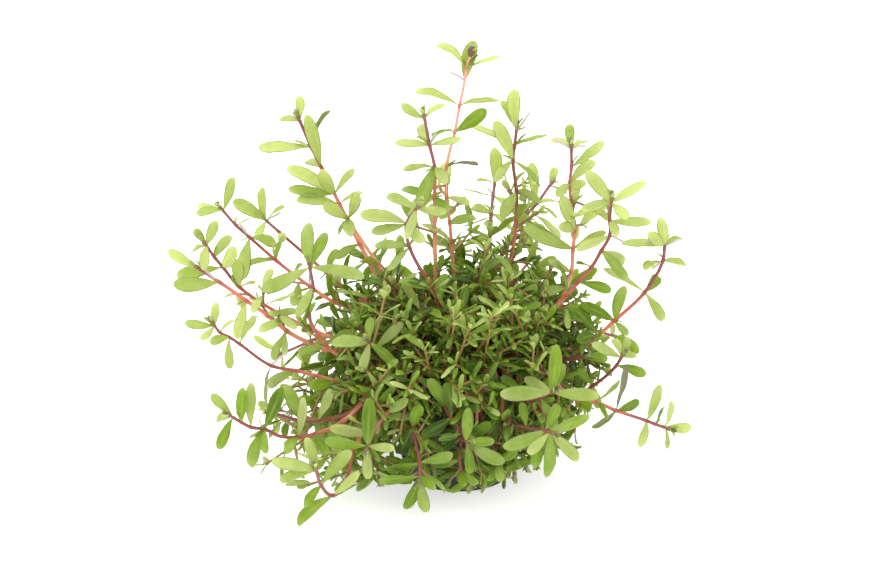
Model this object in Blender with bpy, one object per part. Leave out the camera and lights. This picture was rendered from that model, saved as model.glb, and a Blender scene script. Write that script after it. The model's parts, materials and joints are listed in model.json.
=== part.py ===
"""Laos dwarf rotala: a clump of leafy shoots that spread from a plug of rock wool in a small black pot.

The origin is the middle of the pot's underside, +Z is up and the clump's front looks along -Y.
Lengths are in millimetres and become metres where a mesh is made.
"""

import math
from collections import namedtuple
from itertools import permutations

import bmesh
import bpy
from mathutils import Matrix, Vector
from mathutils.bvhtree import BVHTree

MM = 0.001

# The pot: a common small plant pot for water plants, with slots in its wall.
POT_TOP_RADIUS = 24.0
POT_FOOT_RADIUS = 16.0
POT_HEIGHT = 40.0
POT_WALL = 1.2
POT_FLOOR = 1.5
POT_RIM_WIDTH = 1.6
POT_RIM_HEIGHT = 2.4
POT_SIDES = 24
SLOT_COUNT = 8
SLOT_WIDTH = 2.6
SLOT_BOTTOM = 6.0
SLOT_TOP = 26.0

# The rock wool stands on the pot's floor and ends a little under the rim.
WOOL_TOP = 37.5
WOOL_CROWN = 1.0
GAP = 0.3

# The front view that the shoots are laid out in: it looks 22 degrees down from 1 m away, and a
# point in it is given by how far it stands across and up from the pot's foot.
VIEW_TILT = math.radians(22.0)
VIEW_DISTANCE = 1000.0
VIEW_AIM_ACROSS = -5.4
VIEW_AIM_UP = 52.5

# Stems and leaves.
STEM_RADIUS_FOOT = 0.85
STEM_RADIUS_TIP = 0.6
NODE_HEIGHT = 1.1
BUD_LENGTH = 2.0
LEAF_LENGTH = 13.0
LEAF_WIDTH = 4.0
LEAF_THICKNESS = 0.5
LEAF_WIDEST_AT = 0.55
LEAF_TIP_WIDTH = 0.42
LEAF_ARCH = 0.10
LOW_LEAF_LENGTH = 10.5
LOW_NODE_SPACING = 16.0
CREST_MARGIN = 5.0
CREST_RADIUS = 27.5
CREST_RISE = 3.0
CREST_STEP = 6.5
STRAIGHT_WITHIN = 1.0
CLEARANCE = 0.3
FLOOR_CLEARANCE = 0.5
GOLDEN_ANGLE = math.radians(137.5)

# A leaf's tip in the front view, at the stem point it grows from (0 is the shoot's tip), how far
# it leans back (+1) or forward (-1), and how far its face turns to the front (0 to 1).
Leaf = namedtuple("Leaf", "point across up lean face", defaults=(0.3,))

# A shoot: where its stem leaves the wool, how high the stem rises before it bends over, how far
# back its tip and its lowest seen point stand, its stem points in the front view (across, up)
# from the tip down, and the leaves that the front view shows.
Shoot = namedtuple("Shoot", "name root rise back stem leaves")

SHOOTS = (
    Shoot("crown", (-1, 5), 20, (6, 4),
          ((3.5, 123.5), (2.5, 120.5), (2, 116.5), (0.5, 109), (-1, 101), (-3.5, 90.5), (-3.5, 81.5),
           (-2.5, 74), (-2, 68)),
          (Leaf(1, -6.5, 127, 0.3), Leaf(1, 12.5, 123.5, 0.3), Leaf(2, 5.5, 127.5, -0.8, 0.9),
           Leaf(3, -13, 113, 0.4), Leaf(3, 12.5, 110.5, 0.4), Leaf(4, 8.5, 108, -0.6, 0.6),
           Leaf(4, -7.5, 100, 0.8, 0.1), Leaf(5, 6, 91, -0.8, 0.0), Leaf(6, 3.5, 79.5, -0.4, 0.5),
           Leaf(7, 5.5, 75, -0.5, 0.7))),
    Shoot("crown_left", (-6, -2), 18, (-6, -4),
          ((-10, 105), (-8.5, 97), (-7, 90.5), (-7, 81), (-7, 71)),
          (Leaf(0, -17, 109.5, 0.2, 0.8), Leaf(0, -4, 109.5, 0.5), Leaf(1, -19, 98, 0.3, 0.5),
           Leaf(1, 1, 99, -0.3, 0.4), Leaf(1, -11, 103.5, 0.9), Leaf(2, -16.5, 90, 0.4),
           Leaf(2, -3.5, 85.5, -0.8, 0.8), Leaf(2, -12, 78.5, -0.6, 0.9), Leaf(3, -17, 84, 0.3, 0.4),
           Leaf(3, -2.5, 77.5, -0.7, 0.9))),
    Shoot("left_of_crown", (-5, -10), 20, (-20, -15),
          ((-12.5, 78), (-15.5, 73.5), (-14.5, 66.5), (-11.5, 61), (-7.5, 53.5), (-5.5, 48.5)),
          (Leaf(0, -21.5, 82, 0.4, 0.5), Leaf(0, -3.5, 77, -0.2, 0.6), Leaf(0, -15.5, 69, -0.5, 0.8),
           Leaf(1, -29.5, 76.5, 0.2, 0.5), Leaf(1, -26, 71, -0.4), Leaf(1, -10, 68, -0.5, 0.8),
           Leaf(2, -25, 67, 0.3, 0.4), Leaf(2, -21, 59.5, -0.4, 0.4))),
    Shoot("right_of_crown", (6, 4), 20, (22, 12),
          ((17.5, 101.5), (17, 97), (16.5, 92.5), (17.5, 83.5), (17.5, 74.5)),
          (Leaf(0, 17, 114, 0.4, 0.9), Leaf(0, 13, 110.5, 0.3, 0.4), Leaf(1, 4, 102.5, 0.2),
           Leaf(1, 27, 100.5, 0.3), Leaf(2, 11, 104.5, 0.4, 0.7), Leaf(2, 11, 86, -0.6, 0.7),
           Leaf(2, 24.5, 84.5, -0.5, 0.6), Leaf(3, 13, 75.5, -0.6, 0.9), Leaf(3, 25, 80, 0.3, 0.6))),
    Shoot("high_back", (4.5, 12), 22, (42, 28),
          ((11, 85.5), (10.5, 82), (10, 76.5), (9.5, 69.5)),
          (Leaf(0, 11, 96.5, 0.3, 0.8), Leaf(0, 5.5, 86.5, 0.3, 0.2), Leaf(1, 1.5, 84, 0.2),
           Leaf(1, 17, 79, 0.3, 0.7), Leaf(2, 4, 78.5, 0.3, 0.5), Leaf(2, 16, 72, 0.3, 0.6))),
    Shoot("high_back_right", (11.5, 9.5), 20, (36, 18),
          ((27.5, 85), (23.5, 79.5), (19, 74.5), (15.5, 69.5)),
          (Leaf(0, 29.5, 90.5, 0.5, 0.8), Leaf(0, 32.5, 82.5, 0.2, 0.4), Leaf(1, 22, 92, 0.5, 0.8),
           Leaf(1, 29.5, 75, -0.4, 0.4), Leaf(1, 31, 79.5, 0.5, 0.1), Leaf(2, 25, 70.5, -0.3, 0.6))),
    Shoot("right_tall", (13, 1), 20, (2, -2),
          ((34, 96), (34, 90.5), (33.5, 85.5), (35, 71.5), (34.5, 66), (34, 59), (32.5, 54.5), (30.5, 49)),
          (Leaf(0, 33.5, 103.5, 0.3, 0.8), Leaf(0, 39, 98, 0.5, 0.1), Leaf(0, 28, 99, 0.6, 0.1),
           Leaf(1, 44, 98, 0.2, 0.4), Leaf(2, 41, 92.5, 0.2, 0.5), Leaf(2, 38.5, 85.5, -0.3, 0.8),
           Leaf(2, 30, 81.5, -0.3, 0.7), Leaf(3, 31, 82, 0.2, 0.9), Leaf(3, 30, 72.5, -0.5, 0.6),
           Leaf(4, 19.5, 72.5, 0.2, 0.6), Leaf(4, 44.5, 71, 0.3, 0.5), Leaf(5, 27, 62.5, -0.2, 0.5),
           Leaf(6, 25, 52, -0.4, 0.6))),
    Shoot("right_shoulder", (13, -5), 18, (-12, -8),
          ((46, 80), (45.5, 74.5), (45.5, 70), (43, 65.5), (40, 60.5), (36, 56), (32.5, 52), (27.5, 47.5)),
          (Leaf(0, 38.5, 89.5, 0.2, 0.9), Leaf(0, 56.5, 86, 0.2, 0.6), Leaf(0, 51, 75, -0.5, 0.7),
           Leaf(0, 37, 77.5, -0.2, 0.6), Leaf(1, 58, 74, 0.2, 0.6), Leaf(1, 47.5, 69.5, -0.8, 0.9),
           Leaf(2, 35.5, 65.5, -0.2, 0.5), Leaf(3, 50, 62, 0.3, 0.5), Leaf(3, 51, 56.5, -0.3, 0.7),
           Leaf(4, 35.5, 61.5, 0.4), Leaf(5, 46, 53.5, 0.1, 0.7))),
    Shoot("right_high", (18.5, -2.5), 14, (0, -6),
          ((62, 67), (61.5, 62.5), (60, 58), (56, 53), (52, 48.5), (47, 44.5), (42, 40), (36, 36)),
          (Leaf(0, 60.5, 75.5, -0.2, 0.9), Leaf(0, 67, 69.5, 0.5), Leaf(0, 49, 67.5, 0.1, 0.5),
           Leaf(0, 57, 71, -0.3, 0.6), Leaf(1, 68.5, 61, 0.2, 0.5), Leaf(1, 56, 59.5, 0.7, 0.1),
           Leaf(3, 61.5, 44.5, -0.2, 0.7), Leaf(3, 60, 58, 0.7, 0.5), Leaf(3, 43.5, 60, 0.2, 0.6),
           Leaf(5, 50, 55, 0.2, 0.8), Leaf(5, 36.5, 49.5, 0.2, 0.6), Leaf(5, 51, 40, -0.3, 0.7),
           Leaf(6, 33, 49.5, 0.3, 0.7), Leaf(6, 35.5, 38.5, -0.4, 0.6))),
    Shoot("right_low", (16.5, -8.5), 10, (-20, -15),
          ((49, 33.5), (47.5, 31), (45, 28), (40.5, 25), (34, 22)),
          (Leaf(0, 46.5, 39, 0.6, 0.6), Leaf(0, 51, 39.5, 0.5, 0.6), Leaf(0, 53.5, 34.5, 0.3),
           Leaf(0, 40, 37.5, -0.1, 0.8), Leaf(1, 56.5, 28.5, 0.3, 0.4), Leaf(3, 36, 30, 0.4, 0.6),
           Leaf(3, 42, 18, -0.4, 0.6))),
    Shoot("far_right_low", (15.5, -12.5), 8, (-29, -24),
          ((62, 12.5), (59, 13.5), (56.5, 14.5), (52, 15.5), (47.5, 17.5), (41.5, 20), (36, 20.5)),
          (Leaf(0, 70, 12.5, 0.3, 0.7), Leaf(0, 64, 20.5, 0.3, 0.5), Leaf(0, 62.5, 6, -0.6, 0.4),
           Leaf(1, 61.5, 18.5, 0.8, 0.2), Leaf(2, 60.5, 25.5, 0.2, 0.6), Leaf(2, 54.5, 6.5, -0.4, 0.7),
           Leaf(4, 50, 31.5, 0.1), Leaf(4, 54.5, 20, 0.5, 0.5), Leaf(4, 40, 12.5, -0.4, 0.6))),
    Shoot("left_crown", (-8, 8.5), 16, (20, 12),
          ((-47.5, 104.5), (-46, 101), (-44, 96.5), (-41, 90.5), (-37.5, 83.5), (-33.5, 75.5), (-29.5, 67.5),
           (-26.5, 62), (-24, 57)),
          (Leaf(0, -47.5, 112, 0.3, 0.8), Leaf(0, -53.5, 105, 0.3, 0.6), Leaf(2, -60, 96.5, 0.2, 0.4),
           Leaf(2, -38, 107.5, 0.2, 0.1), Leaf(3, -45.5, 106.5, -0.2, 0.9), Leaf(3, -45.5, 92.5, 0.8, 0.2),
           Leaf(6, -37, 63, -0.5, 0.5))),
    Shoot("left_crown_low", (-9, 4), 16, (12, 7),
          ((-37, 82.5), (-35.5, 79.5), (-33, 75), (-28.5, 69), (-24, 61.5), (-20.5, 57)),
          (Leaf(0, -51, 84, 0.1, 0.6), Leaf(0, -51.5, 90.5, 0.3, 0.6), Leaf(0, -41, 90, -0.6, 0.9),
           Leaf(0, -31, 90, 0.2, 0.4), Leaf(1, -48.5, 80.5, -0.4, 0.6), Leaf(1, -28.5, 83, 0.2, 0.2),
           Leaf(2, -40.5, 79.5, -0.3, 0.6), Leaf(2, -30, 83, 0.2, 0.5), Leaf(2, -36, 70.5, 0.6, 0.2),
           Leaf(2, -32, 69.5, -0.9, 0.9))),
    Shoot("left_high", (-13, 5.5), 12, (18, 8),
          ((-70.5, 77.5), (-66.5, 73), (-62.5, 69.5), (-59, 66), (-54.5, 62.5), (-50, 59), (-44, 54.5),
           (-37, 50)),
          (Leaf(0, -67, 87.5, 0.3, 0.7), Leaf(0, -78, 79, 0.3, 0.6), Leaf(0, -78.5, 76.5, -0.4, 0.6),
           Leaf(1, -62.5, 75, 0.6, 0.1), Leaf(2, -65.5, 56.5, -0.3, 0.8), Leaf(2, -54.5, 67.5, 0.2, 0.7),
           Leaf(4, -64, 61.5, 0.2, 0.4), Leaf(4, -52.5, 70, 0.5, 0.3))),
    Shoot("left_high_back", (-9, 12), 16, (30, 15),
          ((-57.5, 74.5), (-53.5, 71), (-50.5, 68.5), (-47.5, 65), (-44.5, 62), (-39.5, 59), (-33.5, 54),
           (-29, 51)),
          (Leaf(0, -58.5, 84.5, 0.3, 0.5), Leaf(0, -67.5, 80.5, 0.2, 0.8), Leaf(0, -60, 69.5, -0.7, 0.7),
           Leaf(0, -52, 78.5, 0.7, 0.1), Leaf(1, -52.5, 68, -0.9, 0.9), Leaf(5, -36, 66, 0.4, 0.5),
           Leaf(5, -35, 50, -0.5, 0.5))),
    Shoot("far_left_upper", (-18.5, 2), 8, (-2, -3),
          ((-75.5, 67), (-73, 63.5), (-70.5, 60.5), (-68, 57.5), (-65.5, 54.5), (-62.5, 52.5), (-56.5, 49),
           (-50.5, 45.5), (-43, 41.5), (-36, 39)),
          (Leaf(0, -79, 72, 0.3, 0.8), Leaf(0, -72.5, 74.5, 0.3, 0.6), Leaf(0, -80, 65, 0.5, 0.2),
           Leaf(0, -76, 59.5, -0.4, 0.5), Leaf(1, -68, 70, 0.3, 0.8), Leaf(2, -66.5, 66.5, -0.7, 0.9),
           Leaf(2, -84.5, 58, 0.2, 0.6), Leaf(4, -66.5, 63, -0.2, 0.9), Leaf(4, -61, 55.5, 0.6))),
    Shoot("far_left", (-19, -2.5), 7, (-7, -6),
          ((-77.5, 60), (-75.5, 58), (-71.5, 56), (-67, 53), (-63.5, 50.5), (-57, 46), (-51.5, 41.5),
           (-44, 37.5), (-36, 35)),
          (Leaf(0, -87, 65.5, 0.1), Leaf(2, -85.5, 55.5, -0.6, 0.9), Leaf(4, -66.5, 39, -0.3, 0.8),
           Leaf(5, -47.5, 47.5, 0.1, 0.4), Leaf(6, -55.5, 32.5, -0.3, 0.5), Leaf(6, -51.5, 34, -0.7))),
    Shoot("left_middle", (-17.5, -5.5), 14, (-12, -15),
          ((-44.5, 60.5), (-43.5, 54.5), (-45, 47), (-42.5, 42), (-39.5, 37), (-33.5, 32.5), (-28, 30)),
          (Leaf(0, -44.5, 74, 0.3, 0.6), Leaf(0, -39.5, 71, 0.2, 0.7), Leaf(0, -59, 53.5, -0.2, 0.9),
           Leaf(0, -28, 57.5, 0.0, 0.7), Leaf(1, -48.5, 45.5, -0.6, 0.9), Leaf(1, -40, 42.5, -0.5, 0.8),
           Leaf(4, -48, 34.5, -0.2, 0.5), Leaf(4, -31, 41, 0.4, 0.5))),
    Shoot("left_low", (-16, -10), 7, (-22, -20),
          ((-73, 43), (-71.5, 41), (-68.5, 39.5), (-65.5, 37.5), (-62.5, 35.5), (-56, 31), (-48.5, 29.5),
           (-42.5, 28), (-37, 26.5), (-29, 25), (-23.5, 24.5)),
          (Leaf(0, -82, 44, 0.2, 0.7), Leaf(0, -72.5, 50, 0.3, 0.6), Leaf(0, -77, 38.5, -0.5, 0.5),
           Leaf(1, -66, 44.5, 0.5, 0.3), Leaf(2, -74.5, 38, -0.3, 0.6), Leaf(2, -68.5, 30, -0.4, 0.7),
           Leaf(3, -60.5, 45.5, 0.2, 0.3), Leaf(5, -57.5, 18.5, -0.3, 0.2), Leaf(6, -57, 25, -0.2, 0.3),
           Leaf(6, -40.5, 31.5, 0.4, 0.5), Leaf(7, -37.5, 18, -0.4, 0.7), Leaf(8, -45, 25, -0.3, 0.5))),
    Shoot("far_left_low", (-12, -14.8), 6, (-38, -33),
          ((-67.5, 15.5), (-65, 14), (-62, 12.5), (-58, 12), (-54, 10), (-48, 9.5), (-43, 10.5), (-35, 14)),
          (Leaf(0, -74, 22.5, 0.3, 0.5), Leaf(0, -72.5, 15, 0.6, 0.5), Leaf(0, -72, 6, -0.4, 0.6),
           Leaf(1, -64.5, 24.5, 0.2, 0.7), Leaf(2, -62, 26, 0.5, 0.6), Leaf(3, -62, 0.5, -0.3, 0.7),
           Leaf(3, -57.5, 4.5, -0.6, 0.6), Leaf(3, -52.5, 24.5, 0.1, 0.8), Leaf(5, -46, 21.5, 0.0, 0.6),
           Leaf(5, -52, 4.5, -0.4, 0.5), Leaf(6, -39, 4.5, -0.5, 0.7))),
    Shoot("left_low_inner", (-14, -12.5), 6, (-31, -28),
          ((-54.5, 16.5), (-50.5, 15.5), (-47, 14.5), (-42, 14.5), (-38.5, 15), (-31, 18)),
          (Leaf(0, -60, 20, 0.4, 0.5), Leaf(2, -52, 25.5, 0.2, 0.6), Leaf(3, -38, 24, 0.3, 0.6),
           Leaf(4, -36, 5, -0.5, 0.7))),
    Shoot("front_left_low", (-10, -16.5), 6, (-50, -36),
          ((-42.5, -0.5), (-41, -5), (-37.5, -8), (-34.5, -5.5), (-32.5, 1.5), (-31, 6.5), (-27, 14)),
          (Leaf(0, -56, 2.5, 0.2, 0.5), Leaf(0, -53.5, -3.5, -0.2, 0.7), Leaf(0, -45.5, 9.5, 0.4, 0.8),
           Leaf(1, -46, -11.5, -0.2, 0.5), Leaf(1, -32, 5.5, 0.2, 0.7), Leaf(2, -48, -17, -0.1, 0.4),
           Leaf(2, -29.5, -1, 0.0, 0.6))),
    Shoot("front_left", (-6, -13), 6, (-43, -31),
          ((-27, 7), (-25.5, 10.5), (-21, 17), (-15.5, 21)),
          (Leaf(0, -26.5, 21.5, 0.3, 0.8), Leaf(0, -40, 8.5, -0.1, 0.7), Leaf(0, -19, 6.5, -0.6, 0.8),
           Leaf(0, -27, -3, -0.4, 0.7), Leaf(1, -38.5, 12.5, 0.1, 0.7), Leaf(2, -15, 21, 0.3, 0.6))),
    Shoot("front_low", (-4, -19), 6, (-38, -29),
          ((-11.5, -2), (-11.5, 2), (-12.5, 7), (-13.5, 13), (-13, 20)),
          (Leaf(0, -24, -3.5, -0.1, 0.5), Leaf(0, -6.5, -6, -0.6, 0.8), Leaf(0, -16, -12, -0.3, 0.6),
           Leaf(0, -9.5, -13, -0.3, 0.6), Leaf(1, -1.5, 4.5, 0.1, 0.8), Leaf(1, -22, 0, 0.2, 0.6),
           Leaf(3, -17.5, 4.5, -0.4, 0.8), Leaf(3, -11, 19, -0.7, 0.8))),
    Shoot("front_middle", (-1, -16.5), 7, (-35, -29),
          ((2.5, 8.5), (1.5, 11), (-2, 15.5), (-4, 19)),
          (Leaf(0, 3, 18.5, 0.3, 0.8), Leaf(0, 11, 8.5, -0.2, 0.8), Leaf(0, 14, 2, -0.3, 0.7),
           Leaf(0, 3.5, -1.5, -0.5, 0.8), Leaf(1, -6, 9, -0.3, 0.8), Leaf(2, -11, 10, -0.1, 0.8),
           Leaf(2, -3.5, 26, 0.2, 0.8), Leaf(3, -9, 27, 0.2, 0.8))),
    Shoot("front_foot", (1, -19.5), 5, (-33, -29),
          ((1, -0.5), (0.5, 2.5), (1, 8), (3, 14)),
          (Leaf(0, 1, -5, -0.6, 0.7), Leaf(0, 6, -4.5, -0.3, 0.7), Leaf(1, -8, 1.5, 0.0, 0.7),
           Leaf(2, 10, 14, 0.3, 0.7))),
    Shoot("front_right_foot", (5, -19), 5, (-33, -28),
          ((12, 2), (11, 5), (9, 10), (7, 16)),
          (Leaf(0, 9.5, -3.5, -0.4, 0.7), Leaf(0, 13, -4, -0.6, 0.7), Leaf(0, 18, 6.5, -0.2, 0.8),
           Leaf(1, 3, 7, -0.5, 0.7), Leaf(2, 14, 22, 0.3, 0.7))),
    Shoot("front_right", (12, -14), 7, (-38, -26),
          ((28, 23), (24.5, 21.5), (20.5, 20.5), (17, 22)),
          (Leaf(0, 29.5, 37.5, 0.1, 0.8), Leaf(0, 12.5, 22.5, -0.1, 0.8), Leaf(0, 42.5, 22, -0.1, 0.8),
           Leaf(0, 20, 27.5, 0.4, 0.8), Leaf(1, 32, 31.5, 0.5, 0.7), Leaf(1, 29, 11.5, -0.5, 0.7),
           Leaf(2, 13, 28, 0.3, 0.7))),
    Shoot("front_right_low", (9, -17), 5, (-42, -32),
          ((27.5, 11), (26, 11.5), (20.5, 12.5), (14, 15)),
          (Leaf(0, 21, 4.5, -0.4, 0.8), Leaf(0, 26.5, -2.5, -0.3, 0.7), Leaf(0, 39.5, 16, 0.1, 0.8),
           Leaf(0, 36, 2.5, -0.2, 0.8), Leaf(1, 23, 0.5, 0.2, 0.6), Leaf(1, 13.5, 6.5, -0.2, 0.8),
           Leaf(1, 30, 19.5, 0.4, 0.7), Leaf(2, 19, 20, 0.3, 0.7))),
    Shoot("left_front", (-13.5, -7.5), 16, (-26, -18),
          ((-26.5, 38), (-24.5, 36.5), (-19, 35.5)),
          (Leaf(0, -26, 45.5, 0.5, 0.9), Leaf(0, -38, 37.5, -0.1, 0.7), Leaf(0, -18.5, 30.5, -0.4, 0.8),
           Leaf(0, -29, 29, -0.6, 0.8), Leaf(1, -16.5, 44, 0.3, 0.7))),
    Shoot("right_inner", (17.5, -6), 12, (-12, -9),
          ((37, 33.5), (34, 33), (28, 33)),
          (Leaf(0, 38, 42, 0.4, 0.7), Leaf(0, 45, 33, -0.2, 0.6), Leaf(0, 36, 24, -0.5, 0.7),
           Leaf(1, 28, 39, 0.4, 0.6), Leaf(2, 29, 23, -0.5, 0.7))),
    Shoot("inner_left", (-13, -2), 12, (-4, -4), ((-19, 54), (-17, 46)), ()),
    Shoot("inner_front_left", (-7, -6), 10, (-16, -12), ((-11, 47), (-11, 39)), ()),
    Shoot("inner_front", (0, -11), 10, (-18, -14), ((1, 45), (1, 38)), ()),
    Shoot("inner_middle", (3, -2), 12, (-6, -4), ((5, 56), (4, 48)), ()),
    Shoot("inner_front_right", (8, -10), 10, (-16, -12), ((15, 47), (14, 39)), ()),
    Shoot("inner_right", (7, -3), 12, (-4, -4), ((17, 56), (15, 48)), ()),
    Shoot("behind_right", (15.5, 5), 14, (22, 12), ((33, 55), (27, 49)), ()),
    Shoot("behind_middle_right", (8.5, 12.5), 16, (38, 24), ((22, 63), (16, 56)), ()),
    Shoot("behind_middle", (0.5, 15), 16, (40, 27), ((1, 66), (1, 58)), ()),
    Shoot("behind_middle_left", (-3.5, 14.5), 16, (38, 26), ((-18, 60), (-14, 54)), ()),
)

# The shoots that hang over the pot's rim at the back, which the front view doesn't show: the
# compass range of their tips (90 degrees is straight back), where they leave the wool, and how
# far out and how high their tips reach.
BACK_SHOOTS = 9
BACK_TURN_FROM = 28.0
BACK_TURN_TO = 152.0
BACK_FOOT_RADIUS = 18.5
BACK_REACH = (42.0, 64.0)
BACK_HEIGHT = (22.0, 44.0)
BACK_RISE = 12.0

SHADE_GREEN = (0.055, 0.14, 0.02)
SUN_GREEN = (0.32, 0.45, 0.09)

VIEW_ACROSS = Vector((1, 0, 0))
VIEW_UP = Vector((0, math.sin(VIEW_TILT), math.cos(VIEW_TILT)))
VIEW_AHEAD = Vector((0, math.cos(VIEW_TILT), -math.sin(VIEW_TILT)))
EYE = VIEW_ACROSS * VIEW_AIM_ACROSS + VIEW_UP * VIEW_AIM_UP - VIEW_AHEAD * VIEW_DISTANCE
UP = Vector((0, 0, 1))


def seen_at(across, up, back):
    """The point this far back that the front view shows at this place."""
    there = VIEW_ACROSS * across + VIEW_UP * up
    return EYE + (there - EYE) * ((back - EYE.y) / (there.y - EYE.y))


def pot_inner_radius(height):
    """The inner radius of the pot's wall at a height."""
    slope = (POT_TOP_RADIUS - POT_FOOT_RADIUS) / POT_HEIGHT
    return POT_FOOT_RADIUS + slope * height - POT_WALL


def wool_surface(x, y):
    """The height of the wool's domed top at a place."""
    edge = pot_inner_radius(WOOL_TOP) - GAP
    return WOOL_TOP + WOOL_CROWN * (1 - math.hypot(x, y) / edge)


def bezier(start, leave, arrive, end, share):
    """A point on the cubic curve with these four handles."""
    rest = 1 - share
    return (start * rest ** 3 + leave * 3 * rest ** 2 * share
            + arrive * 3 * rest * share ** 2 + end * share ** 3)


def evenly_along(curve, spacing):
    """Points about a spacing apart along a curve from 0 to 1, without its two ends."""
    steps = 200
    points = [curve(step / steps) for step in range(steps + 1)]
    length = sum((b - a).length for a, b in zip(points, points[1:]))
    count = max(2, round(length / spacing))
    wanted = [length * number / count for number in range(1, count)]
    found = []
    walked = 0.0
    for a, b in zip(points, points[1:]):
        walked += (b - a).length
        while len(found) < len(wanted) and walked >= wanted[len(found)]:
            found.append(b)
    return found


class Station:
    """A point of a stem, with the leaves that grow there."""

    def __init__(self, point, leaves=(), paired=False):
        self.point = point
        self.leaves = list(leaves)
        self.paired = paired
        self.grown = []


def inner_route(foot, rise, low, onward):
    """The hidden stations of a stem, over the pot's rim if its lowest seen point is low."""
    if low.z > POT_HEIGHT + CREST_MARGIN:
        def curve(share):
            return bezier(foot, foot + UP * rise, low - onward * rise, low, share)
        return [Station(point, paired=True) for point in evenly_along(curve, LOW_NODE_SPACING)]
    away = Vector((foot.x, foot.y, 0)).normalized()
    crest = away * CREST_RADIUS + UP * (POT_HEIGHT + CREST_RISE)

    def upward(share):
        return bezier(foot, foot + UP * rise * 0.6, crest - away * rise * 0.6, crest, share)

    def downward(share):
        return bezier(crest, crest + away * rise * 0.6, low - onward * rise * 0.6, low, share)

    stations = [Station(point) for point in evenly_along(upward, CREST_STEP)]
    stations.append(Station(crest, paired=True))
    return stations + [Station(point, paired=True) for point in evenly_along(downward, LOW_NODE_SPACING)]


def without_straight_points(stations):
    """Leaves out the bare points of a stem where it runs on straight."""
    kept = stations[:1]
    for station, onward in zip(stations[1:], stations[2:]):
        start = kept[-1].point
        ahead = (onward.point - start).normalized()
        bend = (station.point - start).cross(ahead).length
        if station.leaves or station.paired or bend > STRAIGHT_WITHIN:
            kept.append(station)
    return kept + stations[-1:]


def foot_at(x, y):
    """The start of a stem just above the wool."""
    return Vector((x, y, wool_surface(x, y) + GAP))


def stations_of(shoot):
    """The stem of a shoot read from the front view, from the wool to the tip."""
    steps = [0.0]
    for a, b in zip(shoot.stem, shoot.stem[1:]):
        steps.append(steps[-1] + math.dist(a, b))
    back_tip, back_low = shoot.back
    seen = []
    for number, (across, up) in enumerate(shoot.stem):
        back = back_tip + (back_low - back_tip) * steps[number] / steps[-1]
        leaves = [leaf for leaf in shoot.leaves if leaf.point == number]
        seen.append(Station(seen_at(across, up, back), leaves, not shoot.leaves))
    seen.reverse()
    for station in seen[:2]:
        station.paired = not station.leaves
    foot = foot_at(*shoot.root)
    low = seen[0].point
    onward = (seen[1].point - low).normalized()
    return [Station(foot)] + inner_route(foot, shoot.rise, low, onward) + seen


def back_shoots():
    """The stems that lean out over the back of the pot, each with pairs of leaves."""
    for number in range(BACK_SHOOTS):
        share = number / (BACK_SHOOTS - 1)
        turn = math.radians(BACK_TURN_FROM + (BACK_TURN_TO - BACK_TURN_FROM) * share)
        swing = 0.5 + 0.5 * math.sin(number * GOLDEN_ANGLE * 2)
        away = Vector((math.cos(turn), math.sin(turn), 0))
        reach = BACK_REACH[0] + (BACK_REACH[1] - BACK_REACH[0]) * swing
        height = BACK_HEIGHT[1] + (BACK_HEIGHT[0] - BACK_HEIGHT[1]) * swing
        foot = foot_at(*(away * BACK_FOOT_RADIUS).xy)
        tip = away * reach + UP * height
        onward = (away * 3 - UP).normalized()
        stations = [Station(foot)] + inner_route(foot, BACK_RISE, tip, onward)
        yield f"back_{number + 1:02d}", stations + [Station(tip, paired=True)]


def stem_directions(stations):
    """The direction of the stem at each station, towards the tip."""
    points = [station.point for station in stations]
    ahead = [(b - a).normalized() for a, b in zip(points, points[1:])]
    middle = [(a + b).normalized() for a, b in zip(ahead, ahead[1:])]
    return [UP] + middle + [ahead[-1]]


class Blade:
    """One leaf: where it grows, its tip and which way its upper face looks."""

    def __init__(self, base, tip, face, width):
        self.base = base
        self.tip = tip
        self.length = (tip - base).length
        self.ahead = (tip - base) / self.length
        self.face = (face - self.ahead * face.dot(self.ahead)).normalized()
        self.side = self.face.cross(self.ahead)
        self.width = width

    def middle(self, share):
        """A point of the midrib, which arches over from the base to the tip."""
        arch = LEAF_ARCH * self.length * 4 * share * (1 - share)
        return self.base.lerp(self.tip, share) + self.face * arch

    def hull(self, start):
        """A loose closed shape around the leaf from this share of its length on."""
        corners = []
        for share, part in ((start, 0.5), (LEAF_WIDEST_AT, 1.0), (1.0, LEAF_TIP_WIDTH)):
            centre = self.middle(share)
            half = self.width * part / 2 + CLEARANCE / 2
            above = self.face * CLEARANCE / 2
            below = -self.face * (LEAF_THICKNESS + CLEARANCE / 2)
            corners += [centre - self.side * half, centre + above, centre + self.side * half,
                        centre + below]
        return box_tree(corners, 3)


def box_tree(corners, rings):
    """A search tree of the closed tube through rings of four corners each."""
    faces = [(0, 1, 2, 3), tuple(4 * rings - 4 + k for k in range(4))]
    for ring in range(rings - 1):
        for k in range(4):
            low = 4 * ring
            faces.append((low + k, low + (k + 1) % 4, low + 4 + (k + 1) % 4, low + 4 + k))
    return BVHTree.FromPolygons(corners, faces)


def stem_tree(stations, directions):
    """A search tree of a stem, a little fatter than the stem is."""
    corners = []
    for station, ahead in zip(stations, directions):
        across = ahead.orthogonal().normalized()
        radius = (STEM_RADIUS_FOOT + CLEARANCE) * math.sqrt(2)
        for k in range(4):
            corners.append(station.point + Matrix.Rotation(k * math.pi / 2, 3, ahead) @ across * radius)
    return box_tree(corners, len(stations))


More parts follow.
